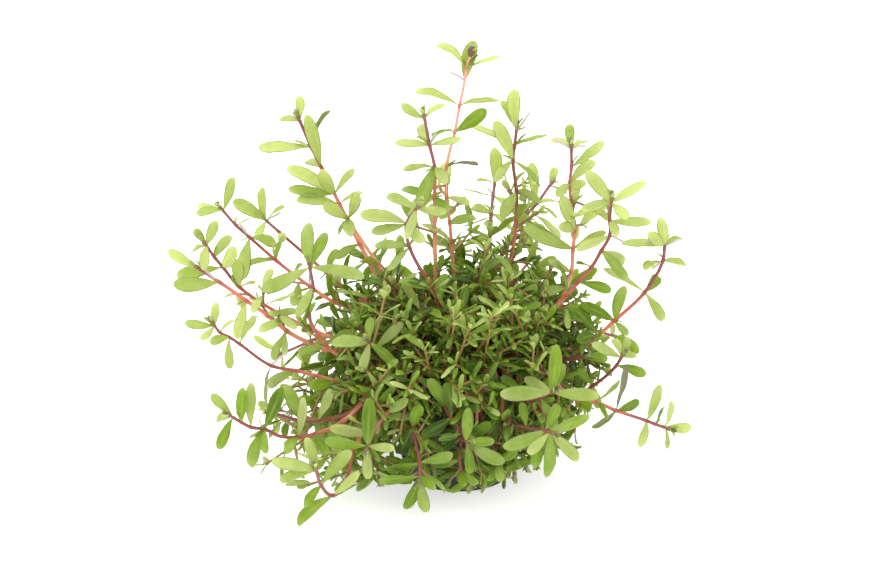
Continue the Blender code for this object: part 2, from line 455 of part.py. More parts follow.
class Room:
    """What is already in place, so that no leaf grows through it."""

    def __init__(self):
        self.placed = []

    def add(self, tree, centre, radius, grower):
        """Keeps a tree of faces, and whose it is: a shoot's name, with a station's number for a leaf."""
        self.placed.append((tree, centre, radius, grower))

    def is_free(self, blade, owner):
        """Whether the leaf stays above the floor, off the pot and clear of all that is placed."""
        centre = blade.middle(0.5)
        for share in (0.5, 1.0):
            point = blade.middle(share)
            if point.z - LEAF_THICKNESS - blade.width / 2 * abs(blade.side.z) < FLOOR_CLEARANCE:
                return False
            reach = math.hypot(point.x, point.y) - blade.width / 2
            if point.z < POT_HEIGHT + 1.5 and reach < POT_TOP_RADIUS + POT_RIM_WIDTH:
                return False
        free_part = blade.hull(0.22)
        whole = blade.hull(0.08)
        for other, middle, radius, grower in self.placed:
            if (middle - centre).length < radius + blade.length:
                beside = grower == owner[:len(grower)]
                if (free_part if beside else whole).overlap(other):
                    return False
        self.add(whole, centre, blade.length / 2, owner)
        return True


def seen_blades(station, leaf):
    """The ways to grow a leaf that the front view shows, the wanted one first."""
    flat = seen_at(leaf.across, leaf.up, station.point.y)
    seen = (flat - station.point).length
    sight = (flat - EYE).normalized()
    depth = math.sqrt(max(LEAF_LENGTH ** 2 - seen ** 2, (0.35 * LEAF_LENGTH) ** 2))
    for nudge in (0, 0.2, -0.2, 0.4, -0.4, 0.6, -0.6, 0.8, -0.8, 1.0, -1.0):
        lean = leaf.lean + nudge
        if abs(lean) > 1.2:
            continue
        for turn in (0, 0.3, -0.3):
            share = min(max(leaf.face + turn, 0), 1)
            face = station.ahead * (1 - share) - sight * share
            tip = flat + sight * lean * depth
            yield Blade(station.point, tip, face, LEAF_WIDTH)


def paired_blades(station, turn):
    """The ways to grow one leaf of a pair that spreads from the stem at a turn."""
    for tilt in (62, 78, 45):
        for nudge in (0, 18, -18, 36, -36):
            out = Matrix.Rotation(turn + math.radians(nudge), 3, station.ahead) @ station.across
            spread = math.radians(tilt)
            ahead = station.ahead * math.cos(spread) + out * math.sin(spread)
            tip = station.point + ahead * LOW_LEAF_LENGTH
            yield Blade(station.point, tip, station.ahead, LEAF_WIDTH * 0.9)


def grow_one(station, blades, room, owner):
    """Gives a station the first of these leaves that finds room."""
    grown = next((blade for blade in blades if room.is_free(blade, owner)), None)
    if grown:
        station.grown.append(grown)


def grow_seen_leaves(name, stations, room):
    """Gives each station the leaves that the front view shows there."""
    for number, station in enumerate(stations):
        for leaf in station.leaves:
            grow_one(station, seen_blades(station, leaf), room, (name, number))


def grow_pairs(name, stations, room, turn):
    """Gives the other stations opposite pairs, each pair a quarter turn on from the last."""
    for number, station in enumerate(stations):
        if station.paired:
            for half in (0, math.pi):
                grow_one(station, paired_blades(station, turn + half), room, (name, number))
            turn += math.pi / 2


def stem_ring(mesh, centre, ahead, across, turn, radius):
    """Four corners of the stem, the first face between them looking along the turn."""
    ring = []
    for k in range(4):
        spoke = Matrix.Rotation(turn + (k - 0.5) * math.pi / 2, 3, ahead) @ across
        ring.append(mesh.verts.new(centre + spoke * radius))
    return ring


def close_sides(mesh, low, high, left_out=()):
    """Joins two rings of four corners with faces, but for those where a leaf grows."""
    for k in range(4):
        if k not in left_out:
            mesh.faces.new((low[k], low[(k + 1) % 4], high[(k + 1) % 4], high[k]))


def grow_blade(mesh, blade, low_left, low_right, high_right, high_left):
    """A leaf from four corners of the stem: it widens to its middle and ends in a blunt tip."""
    centre = blade.middle(LEAF_WIDEST_AT)
    half = blade.side * blade.width / 2
    left = mesh.verts.new(centre - half)
    right = mesh.verts.new(centre + half)
    keel = mesh.verts.new(centre - blade.face * LEAF_THICKNESS)
    tip_left = mesh.verts.new(blade.tip - half * LEAF_TIP_WIDTH)
    tip_right = mesh.verts.new(blade.tip + half * LEAF_TIP_WIDTH)
    mesh.faces.new((high_left, high_right, right, left))
    mesh.faces.new((low_left, high_left, left, keel))
    mesh.faces.new((high_right, low_right, keel, right))
    mesh.faces.new((low_right, low_left, keel))
    mesh.faces.new((left, right, tip_right, tip_left))
    mesh.faces.new((left, tip_left, keel))
    mesh.faces.new((keel, tip_right, right))
    mesh.faces.new((keel, tip_left, tip_right))


def untwisted(blade, corners):
    """The four corners of a side of the stem, from the one that gives the leaf the least twist."""
    middle = sum((corner.co for corner in corners), Vector()) / 4
    below_left = -blade.side - blade.face
    below_right = blade.side - blade.face
    wanted = (below_left, below_right, -below_left, -below_right)

    def fit(start):
        return sum((corners[(start + k) % 4].co - middle).dot(wanted[k]) for k in range(4))
    start = max(range(4), key=fit)
    return corners[start:] + corners[:start]


def sides_for(station, turn):
    """The side of the square stem for each leaf, so that all look as nearly along it as they can."""
    spokes = [Matrix.Rotation(turn + k * math.pi / 2, 3, station.ahead) @ station.across for k in range(4)]

    def fit(sides):
        return sum(spokes[k].dot(blade.ahead) for k, blade in zip(sides, station.grown))
    return max(permutations(range(4), len(station.grown)), key=fit)


def shoot_mesh(stations):
    """The closed solid of a stem with its leaves."""
    mesh = bmesh.new()
    turn = 0.0
    below = None
    for number, station in enumerate(stations):
        share = number / (len(stations) - 1)
        radius = (STEM_RADIUS_FOOT + (STEM_RADIUS_TIP - STEM_RADIUS_FOOT) * share) * math.sqrt(2)
        if station.grown:
            ahead = station.grown[0].ahead
            side = station.ahead.cross(station.across)
            wanted = math.atan2(ahead.dot(side), ahead.dot(station.across))
            quarter = math.pi / 2
            turn += (wanted - turn + quarter / 2) % quarter - quarter / 2
        rise = station.ahead * NODE_HEIGHT / 2 if station.grown else Vector()
        low = stem_ring(mesh, station.point - rise, station.ahead, station.across, turn, radius)
        if below:
            close_sides(mesh, below, low)
        else:
            mesh.faces.new(list(reversed(low)))
        below = low
        if station.grown:
            high = stem_ring(mesh, station.point + rise, station.ahead, station.across, turn, radius)
            sides = sides_for(station, turn)
            for k, blade in zip(sides, station.grown):
                j = (k + 1) % 4
                grow_blade(mesh, blade, *untwisted(blade, [low[k], low[j], high[j], high[k]]))
            close_sides(mesh, low, high, sides)
            below = high
    last = stations[-1]
    bud = mesh.verts.new(last.point + last.ahead * (NODE_HEIGHT / 2 + BUD_LENGTH))
    for k in range(4):
        mesh.faces.new((below[k], below[(k + 1) % 4], bud))
    return mesh


def make_object(name, mesh, color, roughness):
    """Turns a mesh in millimetres into an object in metres with its own material."""
    bmesh.ops.scale(mesh, vec=Vector((MM, MM, MM)), verts=mesh.verts)
    bmesh.ops.recalc_face_normals(mesh, faces=mesh.faces)
    data = bpy.data.meshes.new(name)
    mesh.to_mesh(data)
    mesh.free()
    material = bpy.data.materials.new(name)
    material.use_nodes = True
    shader = material.node_tree.nodes["Principled BSDF"]
    shader.inputs["Base Color"].default_value = (*color, 1)
    shader.inputs["Roughness"].default_value = roughness
    shader.inputs["Metallic"].default_value = 0.0
    data.materials.append(material)
    made = bpy.data.objects.new(name, data)
    bpy.context.scene.collection.objects.link(made)
    return made


def turned(profile):
    """A mesh turned from a profile of (radius, height), whose ends stand on the axis."""
    mesh = bmesh.new()
    points = [mesh.verts.new((radius, 0, height)) for radius, height in profile]
    edges = [mesh.edges.new(pair) for pair in zip(points, points[1:])]
    bmesh.ops.spin(mesh, geom=points + edges, cent=(0, 0, 0), axis=(0, 0, 1), angle=math.tau,
                   steps=POT_SIDES, use_merge=True)
    bmesh.ops.remove_doubles(mesh, verts=mesh.verts, dist=0.01)
    return mesh


def make_pot():
    """The tapered pot with its rim and the slots in its wall."""
    under_rim = POT_HEIGHT - POT_RIM_HEIGHT
    profile = (
        (0, 0),
        (POT_FOOT_RADIUS, 0),
        (pot_inner_radius(under_rim) + POT_WALL, under_rim),
        (POT_TOP_RADIUS + POT_RIM_WIDTH, under_rim),
        (POT_TOP_RADIUS + POT_RIM_WIDTH, POT_HEIGHT),
        (pot_inner_radius(POT_HEIGHT), POT_HEIGHT),
        (pot_inner_radius(POT_FLOOR), POT_FLOOR),
        (0, POT_FLOOR),
    )
    pot = make_object("pot", turned(profile), (0.012, 0.012, 0.013), 0.45)
    slots = bmesh.new()
    for number in range(SLOT_COUNT):
        box = bmesh.ops.create_cube(slots, size=1)["verts"]
        bmesh.ops.scale(slots, vec=(POT_TOP_RADIUS, SLOT_WIDTH, SLOT_TOP - SLOT_BOTTOM), verts=box)
        middle = Vector((POT_FOOT_RADIUS / 2 + POT_TOP_RADIUS / 2 + 3, 0, (SLOT_TOP + SLOT_BOTTOM) / 2))
        bmesh.ops.translate(slots, vec=middle, verts=box)
        turn = Matrix.Rotation(math.tau * (number + 0.5) / SLOT_COUNT, 3, "Z")
        bmesh.ops.rotate(slots, cent=(0, 0, 0), matrix=turn, verts=box)
    cutter = make_object("pot_slot_cutter", slots, (0.5, 0.5, 0.5), 0.5)
    cutter.hide_render = True
    cutter.display_type = "WIRE"
    cut = pot.modifiers.new("slots", "BOOLEAN")
    cut.operation = "DIFFERENCE"
    cut.object = cutter


def make_rock_wool():
    """The plug of wool, which follows the pot's wall and is domed on top."""
    foot = POT_FLOOR + GAP
    profile = (
        (0, foot),
        (pot_inner_radius(foot) - GAP, foot),
        (pot_inner_radius(WOOL_TOP) - GAP, WOOL_TOP),
        (0, WOOL_TOP + WOOL_CROWN),
    )
    make_object("rock_wool", turned(profile), (0.2, 0.15, 0.07), 0.95)


def make_shoots():
    """All the shoots: stems first, then their leaves where there is room."""
    routes = [(shoot.name, stations_of(shoot)) for shoot in SHOOTS]
    routes += back_shoots()
    shoots = [(name, without_straight_points(stations)) for name, stations in routes]
    room = Room()
    for name, stations in shoots:
        directions = stem_directions(stations)
        across = directions[0].orthogonal().normalized()
        for station, ahead in zip(stations, directions):
            across = (across - ahead * across.dot(ahead)).normalized()
            station.ahead = ahead
            station.across = across
        middle = (stations[0].point + stations[-1].point) / 2
        radius = max((station.point - middle).length for station in stations)
        room.add(stem_tree(stations, directions), middle, radius, (name,))
    for name, stations in shoots:
        grow_seen_leaves(name, stations, room)
    for number, (name, stations) in enumerate(shoots):
        grow_pairs(name, stations, room, number * GOLDEN_ANGLE)
    for name, stations in shoots:
        tip = stations[-1].point
        light = min(max((math.hypot(tip.x, tip.y) + tip.z) / 120, 0), 1)
        color = [a + (b - a) * light for a, b in zip(SHADE_GREEN, SUN_GREEN)]
        make_object("shoot_" + name, shoot_mesh(stations), color, 0.5)


def main():
    for old in list(bpy.data.objects):
        bpy.data.objects.remove(old, do_unlink=True)
    make_pot()
    make_rock_wool()
    make_shoots()


main()
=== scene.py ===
"""Laos dwarf rotala, dressed: stems, leaves, pot and rock wool around the packed solids.

Layout lengths are in millimetres, as in the part's own source, and become metres where a mesh is
made. Properties that a user can change are in metres.
"""

import itertools
import json
import math
import random
from collections import namedtuple

import bpy
from bpy.props import FloatProperty, FloatVectorProperty, IntProperty, PointerProperty
from bpy.types import Operator, Panel, PropertyGroup
from mathutils import Matrix, Vector, noise
from mathutils.bvhtree import BVHTree
from mathutils.kdtree import KDTree


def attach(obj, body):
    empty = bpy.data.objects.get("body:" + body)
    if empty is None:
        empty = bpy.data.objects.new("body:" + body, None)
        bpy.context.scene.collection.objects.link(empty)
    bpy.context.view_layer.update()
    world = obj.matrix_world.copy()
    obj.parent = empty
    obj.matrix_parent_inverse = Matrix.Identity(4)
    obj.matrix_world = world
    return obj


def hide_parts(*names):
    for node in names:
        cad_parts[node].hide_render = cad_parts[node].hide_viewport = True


bl_info = {
    "name": "Laos dwarf rotala",
    "version": (1, 0, 0),
    "blender": (4, 5, 0),
    "location": "3D View > Sidebar > Rotala",
    "description": "Dresses a potted clump of Laos dwarf rotala: stems, leaves, pot and rock wool",
    "category": "Object",
}

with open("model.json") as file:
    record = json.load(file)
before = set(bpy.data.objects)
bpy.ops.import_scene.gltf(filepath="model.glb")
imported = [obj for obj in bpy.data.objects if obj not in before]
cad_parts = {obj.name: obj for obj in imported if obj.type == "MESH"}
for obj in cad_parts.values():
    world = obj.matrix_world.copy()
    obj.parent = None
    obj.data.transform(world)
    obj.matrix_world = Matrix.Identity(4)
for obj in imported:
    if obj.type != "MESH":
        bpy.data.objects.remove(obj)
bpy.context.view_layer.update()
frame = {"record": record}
SLOT_OF = {row["node"]: row["material_slot"] for row in frame["record"]["subparts"]}

MM = 0.001

# The pot: a common small plant pot for water plants, with slots in its wall.
POT_TOP_RADIUS = 24.0
POT_FOOT_RADIUS = 16.0
POT_HEIGHT = 40.0
POT_WALL = 1.2
POT_FLOOR = 1.5
POT_RIM_WIDTH = 1.6
POT_RIM_HEIGHT = 2.4
SLOT_COUNT = 8
SLOT_WIDTH = 2.6
SLOT_BOTTOM = 6.0
SLOT_TOP = 26.0

# The rock wool stands on the pot's floor and ends a little under the rim.
WOOL_TOP = 37.5
WOOL_CROWN = 1.0
GAP = 0.3

# The front view that the shoots are laid out in: it looks 22 degrees down from 1 m away, and a
# point in it is given by how far it stands across and up from the pot's foot.
VIEW_TILT = math.radians(22.0)
VIEW_DISTANCE = 1000.0
VIEW_AIM_ACROSS = -5.4
VIEW_AIM_UP = 52.5

# Stems and leaves, and how a hidden stem bends over the pot's rim.
STEM_RADIUS_FOOT = 0.85
LEAF_LENGTH = 13.0
LEAF_WIDTH = 4.0
LEAF_THICKNESS = 0.5
LEAF_WIDEST_AT = 0.55
LEAF_TIP_WIDTH = 0.42
LEAF_ARCH = 0.10
LOW_LEAF_LENGTH = 10.5
LOW_NODE_SPACING = 16.0
CREST_MARGIN = 5.0
CREST_RADIUS = 27.5
CREST_RISE = 3.0
CREST_STEP = 6.5
CREST_HOLD = 0.6
CURVE_STEPS = 200
PAIR_SLIM = 0.9
STRAIGHT_WITHIN = 1.0

# How a leaf finds room: how far it keeps off other leaves, the floor and the pot's top, from what
# share of its length on it may touch nothing of its own shoot and nothing else, and the turns and
# tilts that are tried.
CLEARANCE = 0.3
FLOOR_CLEARANCE = 0.5
OVER_POT = 1.5
BESIDE_FROM = 0.22
WHOLE_FROM = 0.08
NUDGES = (0, 0.2, -0.2, 0.4, -0.4, 0.6, -0.6, 0.8, -0.8, 1.0, -1.0)
FACE_TURNS = (0, 0.3, -0.3)
MOST_LEAN = 1.2
LEAST_DEPTH = 0.35
PAIR_TILTS = (62, 78, 45)
PAIR_TURNS = (0, 18, -18, 36, -36)
GOLDEN_ANGLE = math.radians(137.5)

# A leaf's tip in the front view, at the stem point it grows from (0 is the shoot's tip), how far
# it leans back (+1) or forward (-1), and how far its face turns to the front (0 to 1).
Leaf = namedtuple("Leaf", "point across up lean face", defaults=(0.3,))

# A shoot: where its stem leaves the wool, how high the stem rises before it bends over, how far
# back its tip and its lowest seen point stand, its stem points in the front view (across, up)
# from the tip down, and the leaves that the front view shows. The rows give both in this order.
Shoot = namedtuple("Shoot", "name root rise back stem leaves")

SHOOTS = [Shoot(*row[:-1], [Leaf(*leaf) for leaf in row[-1]]) for row in (
    ("crown", (-1, 5), 20, (6, 4),
     ((3.5, 123.5), (2.5, 120.5), (2, 116.5), (0.5, 109), (-1, 101), (-3.5, 90.5), (-3.5, 81.5),
      (-2.5, 74), (-2, 68)),
     ((1, -6.5, 127, 0.3), (1, 12.5, 123.5, 0.3), (2, 5.5, 127.5, 0.8, 0.9), (3, -13, 113, 0.4),
      (3, 12.5, 110.5, 0.4), (4, 8.5, 108, -0.6, 0.6), (4, -7.5, 100, 0.8, 0.1),
      (5, 6, 91, -0.8, 0.0), (6, 3.5, 79.5, -0.4, 0.5), (7, 5.5, 75, -0.5, 0.7))),
    ("crown_left", (-6, -2), 18, (-6, -4),
     ((-10, 105), (-8.5, 97), (-7, 90.5), (-7, 81), (-7, 71)),
     ((0, -17, 109.5, 0.2, 0.8), (0, -4, 109.5, 0.5), (1, -19, 98, 0.3, 0.5), (1, 1, 99, -0.3, 0.4),
      (1, -11, 103.5, 0.9), (2, -16.5, 90, 0.4), (2, -3.5, 85.5, -0.8, 0.8),
      (2, -12, 78.5, -0.6, 0.9), (3, -17, 84, 0.3, 0.4), (3, -2.5, 77.5, -0.7, 0.9))),
    ("left_of_crown", (-5, -10), 20, (-20, -15),
     ((-12.5, 78), (-15.5, 73.5), (-14.5, 66.5), (-11.5, 61), (-7.5, 53.5), (-5.5, 48.5)),
     ((0, -21.5, 82, 0.4, 0.5), (0, -3.5, 77, -0.2, 0.6), (0, -15.5, 69, -0.5, 0.8),
      (1, -29.5, 76.5, 0.2, 0.5), (1, -26, 71, -0.4), (1, -10, 68, -0.5, 0.8),
      (2, -25, 67, 0.3, 0.4), (2, -21, 59.5, -0.4, 0.4))),
    ("right_of_crown", (6, 4), 20, (22, 12),
     ((17.5, 101.5), (17, 97), (16.5, 92.5), (17.5, 83.5), (17.5, 74.5)),
     ((0, 17, 114, 0.4, 0.9), (0, 13, 110.5, 0.3, 0.4), (1, 4, 102.5, 0.2), (1, 27, 100.5, 0.3),
      (2, 11, 104.5, 0.4, 0.7), (2, 11, 86, -0.6, 0.7), (2, 24.5, 84.5, -0.5, 0.6),
      (3, 13, 75.5, -0.6, 0.9), (3, 25, 80, 0.3, 0.6))),
    ("high_back", (4.5, 12), 22, (42, 28),
     ((11, 85.5), (10.5, 82), (10, 76.5), (9.5, 69.5)),
     ((0, 11, 96.5, 0.3, 0.8), (0, 5.5, 86.5, 0.3, 0.2), (1, 1.5, 84, 0.2), (1, 17, 79, 0.3, 0.7),
      (2, 4, 78.5, 0.3, 0.5), (2, 16, 72, 0.3, 0.6))),
    ("high_back_right", (11.5, 9.5), 20, (36, 18),
     ((27.5, 85), (23.5, 79.5), (19, 74.5), (15.5, 69.5)),
     ((0, 29.5, 90.5, 0.5, 0.8), (0, 32.5, 82.5, 0.2, 0.4), (1, 22, 92, 0.5, 0.8),
      (1, 29.5, 75, -0.4, 0.4), (1, 31, 79.5, 0.5, 0.1), (2, 25, 70.5, -0.3, 0.6))),
    ("right_tall", (13, 1), 20, (2, -2),
     ((34, 96), (34, 90.5), (33.5, 85.5), (35, 71.5), (34.5, 66), (34, 59), (32.5, 54.5),
      (30.5, 49)),
     ((0, 33.5, 103.5, 0.3, 0.8), (0, 39, 98, 0.5, 0.1), (0, 28, 99, 0.6, 0.1),
      (1, 44, 98, 0.2, 0.4), (2, 41, 92.5, 0.2, 0.5), (2, 38.5, 85.5, -0.3, 0.8),
      (2, 30, 81.5, -0.3, 0.7), (3, 31, 82, 0.2, 0.9), (3, 30, 72.5, -0.5, 0.6),
      (4, 19.5, 72.5, 0.2, 0.6), (4, 44.5, 71, 0.3, 0.5), (5, 27, 62.5, -0.2, 0.5),
      (6, 25, 52, -0.4, 0.6))),
    ("right_shoulder", (13, -5), 18, (-12, -8),
     ((46, 80), (45.5, 74.5), (45.5, 70), (43, 65.5), (40, 60.5), (36, 56), (32.5, 52),
      (27.5, 47.5)),
     ((0, 38.5, 89.5, 0.2, 0.9), (0, 56.5, 86, 0.2, 0.6), (0, 51, 75, -0.5, 0.7),
      (0, 37, 77.5, -0.2, 0.6), (1, 58, 74, 0.2, 0.6), (1, 47.5, 69.5, -0.8, 0.9),
      (2, 35.5, 65.5, -0.2, 0.5), (3, 50, 62, 0.3, 0.5), (3, 51, 56.5, -0.3, 0.7),
      (4, 35.5, 61.5, 0.4), (5, 46, 53.5, 0.1, 0.7))),
    ("right_high", (18.5, -2.5), 14, (0, -6),
     ((62, 67), (61.5, 62.5), (60, 58), (56, 53), (52, 48.5), (47, 44.5), (42, 40), (36, 36)),
     ((0, 60.5, 75.5, -0.2, 0.9), (0, 67, 69.5, 0.5), (0, 49, 67.5, 0.1, 0.5),
      (0, 57, 71, -0.3, 0.6), (1, 68.5, 61, 0.2, 0.5), (1, 56, 59.5, 0.7, 0.1),
      (3, 61.5, 44.5, -0.2, 0.7), (3, 60, 58, 0.7, 0.5), (3, 43.5, 60, 0.2, 0.6),
      (5, 50, 55, 0.2, 0.8), (5, 36.5, 49.5, 0.2, 0.6), (5, 51, 40, -0.3, 0.7),
      (6, 33, 49.5, 0.3, 0.7), (6, 35.5, 38.5, -0.4, 0.6))),
    ("right_low", (16.5, -8.5), 10, (-20, -15),
     ((49, 33.5), (47.5, 31), (45, 28), (40.5, 25), (34, 22)),
     ((0, 46.5, 39, 0.6, 0.6), (0, 51, 39.5, 0.5, 0.6), (0, 53.5, 34.5, 0.3),
      (0, 40, 37.5, -0.1, 0.8), (1, 56.5, 28.5, 0.3, 0.4), (3, 36, 30, 0.4, 0.6),
      (3, 42, 18, -0.4, 0.6))),
    ("far_right_low", (15.5, -12.5), 8, (-29, -24),
     ((62, 12.5), (59, 13.5), (56.5, 14.5), (52, 15.5), (47.5, 17.5), (41.5, 20), (36, 20.5)),
     ((0, 70, 12.5, 0.3, 0.7), (0, 64, 20.5, 0.3, 0.5), (0, 62.5, 6, -0.6, 0.4),
      (1, 61.5, 18.5, 0.8, 0.2), (2, 60.5, 25.5, 0.2, 0.6), (2, 54.5, 6.5, -0.4, 0.7),
      (4, 50, 31.5, 0.1), (4, 54.5, 20, 0.5, 0.5), (4, 40, 12.5, -0.4, 0.6))),
    ("left_crown", (-8, 8.5), 16, (20, 12),
     ((-47.5, 104.5), (-46, 101), (-44, 96.5), (-41, 90.5), (-37.5, 83.5), (-33.5, 75.5),
      (-29.5, 67.5), (-26.5, 62), (-24, 57)),
     ((0, -47.5, 112, 0.3, 0.8), (0, -53.5, 105, 0.3, 0.6), (2, -60, 96.5, 0.2, 0.4),
      (2, -38, 107.5, 0.2, 0.1), (3, -45.5, 106.5, -0.2, 0.9), (3, -45.5, 92.5, 0.8, 0.2),
      (6, -37, 63, -0.5, 0.5))),
    ("left_crown_low", (-9, 4), 16, (12, 7),
     ((-37, 82.5), (-35.5, 79.5), (-33, 75), (-28.5, 69), (-24, 61.5), (-20.5, 57)),
     ((0, -51, 84, 0.1, 0.6), (0, -51.5, 90.5, 0.3, 0.6), (0, -41, 90, -0.6, 0.9),
      (0, -31, 90, 0.2, 0.4), (1, -48.5, 80.5, -0.4, 0.6), (1, -28.5, 83, 0.2, 0.2),
      (2, -40.5, 79.5, -0.3, 0.6), (2, -30, 83, 0.2, 0.5), (2, -36, 70.5, 0.6, 0.2),
      (2, -32, 69.5, -0.9, 0.9))),
    ("left_high", (-13, 5.5), 12, (18, 8),
     ((-70.5, 77.5), (-66.5, 73), (-62.5, 69.5), (-59, 66), (-54.5, 62.5), (-50, 59), (-44, 54.5),
      (-37, 50)),
     ((0, -67, 87.5, 0.3, 0.7), (0, -78, 79, 0.3, 0.6), (0, -78.5, 76.5, -0.4, 0.6),
      (1, -62.5, 75, 0.6, 0.1), (2, -65.5, 56.5, -0.3, 0.8), (2, -54.5, 67.5, 0.2, 0.7),
      (4, -64, 61.5, 0.2, 0.4), (4, -52.5, 70, 0.5, 0.3))),
    ("left_high_back", (-9, 12), 16, (30, 15),
     ((-57.5, 74.5), (-53.5, 71), (-50.5, 68.5), (-47.5, 65), (-44.5, 62), (-39.5, 59), (-33.5, 54),
      (-29, 51)),
     ((0, -58.5, 84.5, 0.3, 0.5), (0, -67.5, 80.5, 0.2, 0.8), (0, -60, 69.5, -0.7, 0.7),
      (0, -52, 78.5, 0.7, 0.1), (1, -52.5, 68, -0.9, 0.9), (5, -36, 66, 0.4, 0.5),
      (5, -35, 50, -0.5, 0.5))),
    ("far_left_upper", (-18.5, 2), 8, (-2, -3),
     ((-75.5, 67), (-73, 63.5), (-70.5, 60.5), (-68, 57.5), (-65.5, 54.5), (-62.5, 52.5),
      (-56.5, 49), (-50.5, 45.5), (-43, 41.5), (-36, 39)),
     ((0, -79, 72, 0.3, 0.8), (0, -72.5, 74.5, 0.3, 0.6), (0, -80, 65, 0.5, 0.2),
      (0, -76, 59.5, -0.4, 0.5), (1, -68, 70, 0.3, 0.8), (2, -66.5, 66.5, -0.7, 0.9),
      (2, -84.5, 58, 0.2, 0.6), (4, -66.5, 63, -0.2, 0.9), (4, -61, 55.5, 0.6))),
    ("far_left", (-19, -2.5), 7, (-7, -6),
     ((-77.5, 60), (-75.5, 58), (-71.5, 56), (-67, 53), (-63.5, 50.5), (-57, 46), (-51.5, 41.5),
      (-44, 37.5), (-36, 35)),
     ((0, -87, 65.5, 0.1), (2, -85.5, 55.5, -0.6, 0.9), (4, -66.5, 39, -0.3, 0.8),
      (5, -47.5, 47.5, 0.1, 0.4), (6, -55.5, 32.5, -0.3, 0.5), (6, -51.5, 34, -0.7))),
    ("left_middle", (-17.5, -5.5), 14, (-12, -15),
     ((-44.5, 60.5), (-43.5, 54.5), (-45, 47), (-42.5, 42), (-39.5, 37), (-33.5, 32.5), (-28, 30)),
     ((0, -44.5, 74, 0.3, 0.6), (0, -39.5, 71, 0.2, 0.7), (0, -59, 53.5, -0.2, 0.9),
      (0, -28, 57.5, 0.0, 0.7), (1, -48.5, 45.5, -0.6, 0.9), (1, -40, 42.5, -0.5, 0.8),
      (4, -48, 34.5, -0.2, 0.5), (4, -31, 41, 0.4, 0.5))),
    ("left_low", (-16, -10), 7, (-22, -20),
     ((-73, 43), (-71.5, 41), (-68.5, 39.5), (-65.5, 37.5), (-62.5, 35.5), (-56, 31), (-48.5, 29.5),
      (-42.5, 28), (-37, 26.5), (-29, 25), (-23.5, 24.5)),
     ((0, -82, 44, 0.2, 0.7), (0, -72.5, 50, 0.3, 0.6), (0, -77, 38.5, -0.5, 0.5),
      (1, -66, 44.5, 0.5, 0.3), (2, -74.5, 38, -0.3, 0.6), (2, -68.5, 30, -0.4, 0.7),
      (3, -60.5, 45.5, 0.2, 0.3), (5, -57.5, 18.5, -0.3, 0.2), (6, -57, 25, -0.2, 0.3),
      (6, -40.5, 31.5, 0.4, 0.5), (7, -37.5, 18, -0.4, 0.7), (8, -45, 25, -0.3, 0.5))),
    ("far_left_low", (-12, -14.8), 6, (-38, -33),
     ((-67.5, 15.5), (-65, 14), (-62, 12.5), (-58, 12), (-54, 10), (-48, 9.5), (-43, 10.5),
      (-35, 14)),
     ((0, -74, 22.5, 0.3, 0.5), (0, -72.5, 15, 0.6, 0.5), (0, -72, 6, -0.4, 0.6),
      (1, -64.5, 24.5, 0.2, 0.7), (2, -62, 26, 0.5, 0.6), (3, -62, 0.5, -0.3, 0.7),
      (3, -57.5, 4.5, -0.6, 0.6), (3, -52.5, 24.5, 0.1, 0.8), (5, -46, 21.5, 0.0, 0.6),
      (5, -52, 4.5, -0.4, 0.5), (6, -39, 4.5, -0.5, 0.7))),
    ("left_low_inner", (-14, -12.5), 6, (-31, -28),
     ((-54.5, 16.5), (-50.5, 15.5), (-47, 14.5), (-42, 14.5), (-38.5, 15), (-31, 18)),
     ((0, -60, 20, 0.4, 0.5), (2, -52, 25.5, 0.2, 0.6), (3, -38, 24, 0.3, 0.6),
      (4, -36, 5, -0.5, 0.7))),
    ("front_left_low", (-10, -16.5), 6, (-50, -36),
     ((-42.5, -0.5), (-41, -5), (-37.5, -8), (-34.5, -5.5), (-32.5, 1.5), (-31, 6.5), (-27, 14)),
     ((0, -56, 2.5, 0.2, 0.5), (0, -53.5, -3.5, -0.2, 0.7), (0, -45.5, 9.5, 0.4, 0.8),
      (1, -46, -11.5, -0.2, 0.5), (1, -32, 5.5, 0.2, 0.7), (2, -48, -17, -0.1, 0.4),
      (2, -29.5, -1, 0.0, 0.6))),
    ("front_left", (-6, -13), 6, (-43, -31),
     ((-27, 7), (-25.5, 10.5), (-21, 17), (-15.5, 21)),
     ((0, -26.5, 21.5, 0.3, 0.8), (0, -40, 8.5, -0.1, 0.7), (0, -19, 6.5, -0.6, 0.8),
      (0, -27, -3, -0.4, 0.7), (1, -38.5, 12.5, 0.1, 0.7), (2, -15, 21, 0.3, 0.6))),
    ("front_low", (-4, -19), 6, (-38, -29),
     ((-11.5, -2), (-11.5, 2), (-12.5, 7), (-13.5, 13), (-13, 20)),
     ((0, -24, -3.5, -0.1, 0.5), (0, -6.5, -6, -0.6, 0.8), (0, -16, -12, -0.3, 0.6),
      (0, -9.5, -13, -0.3, 0.6), (1, -1.5, 4.5, 0.1, 0.8), (1, -22, 0, 0.2, 0.6),
      (3, -17.5, 4.5, -0.4, 0.8), (3, -11, 19, -0.7, 0.8))),
    ("front_middle", (-1, -16.5), 7, (-35, -29),
     ((2.5, 8.5), (1.5, 11), (-2, 15.5), (-4, 19)),
     ((0, 3, 18.5, 0.3, 0.8), (0, 11, 8.5, -0.2, 0.8), (0, 14, 2, -0.3, 0.7),
      (0, 3.5, -1.5, -0.5, 0.8), (1, -6, 9, -0.3, 0.8), (2, -11, 10, -0.1, 0.8),
      (2, -3.5, 26, 0.2, 0.8), (3, -9, 27, 0.2, 0.8))),
    ("front_foot", (1, -19.5), 5, (-33, -29),
     ((1, -0.5), (0.5, 2.5), (1, 8), (3, 14)),
     ((0, 1, -5, -0.6, 0.7), (0, 6, -4.5, -0.3, 0.7), (1, -8, 1.5, 0.0, 0.7),
      (2, 10, 14, 0.3, 0.7))),
    ("front_right_foot", (5, -19), 5, (-33, -28),
     ((12, 2), (11, 5), (9, 10), (7, 16)),
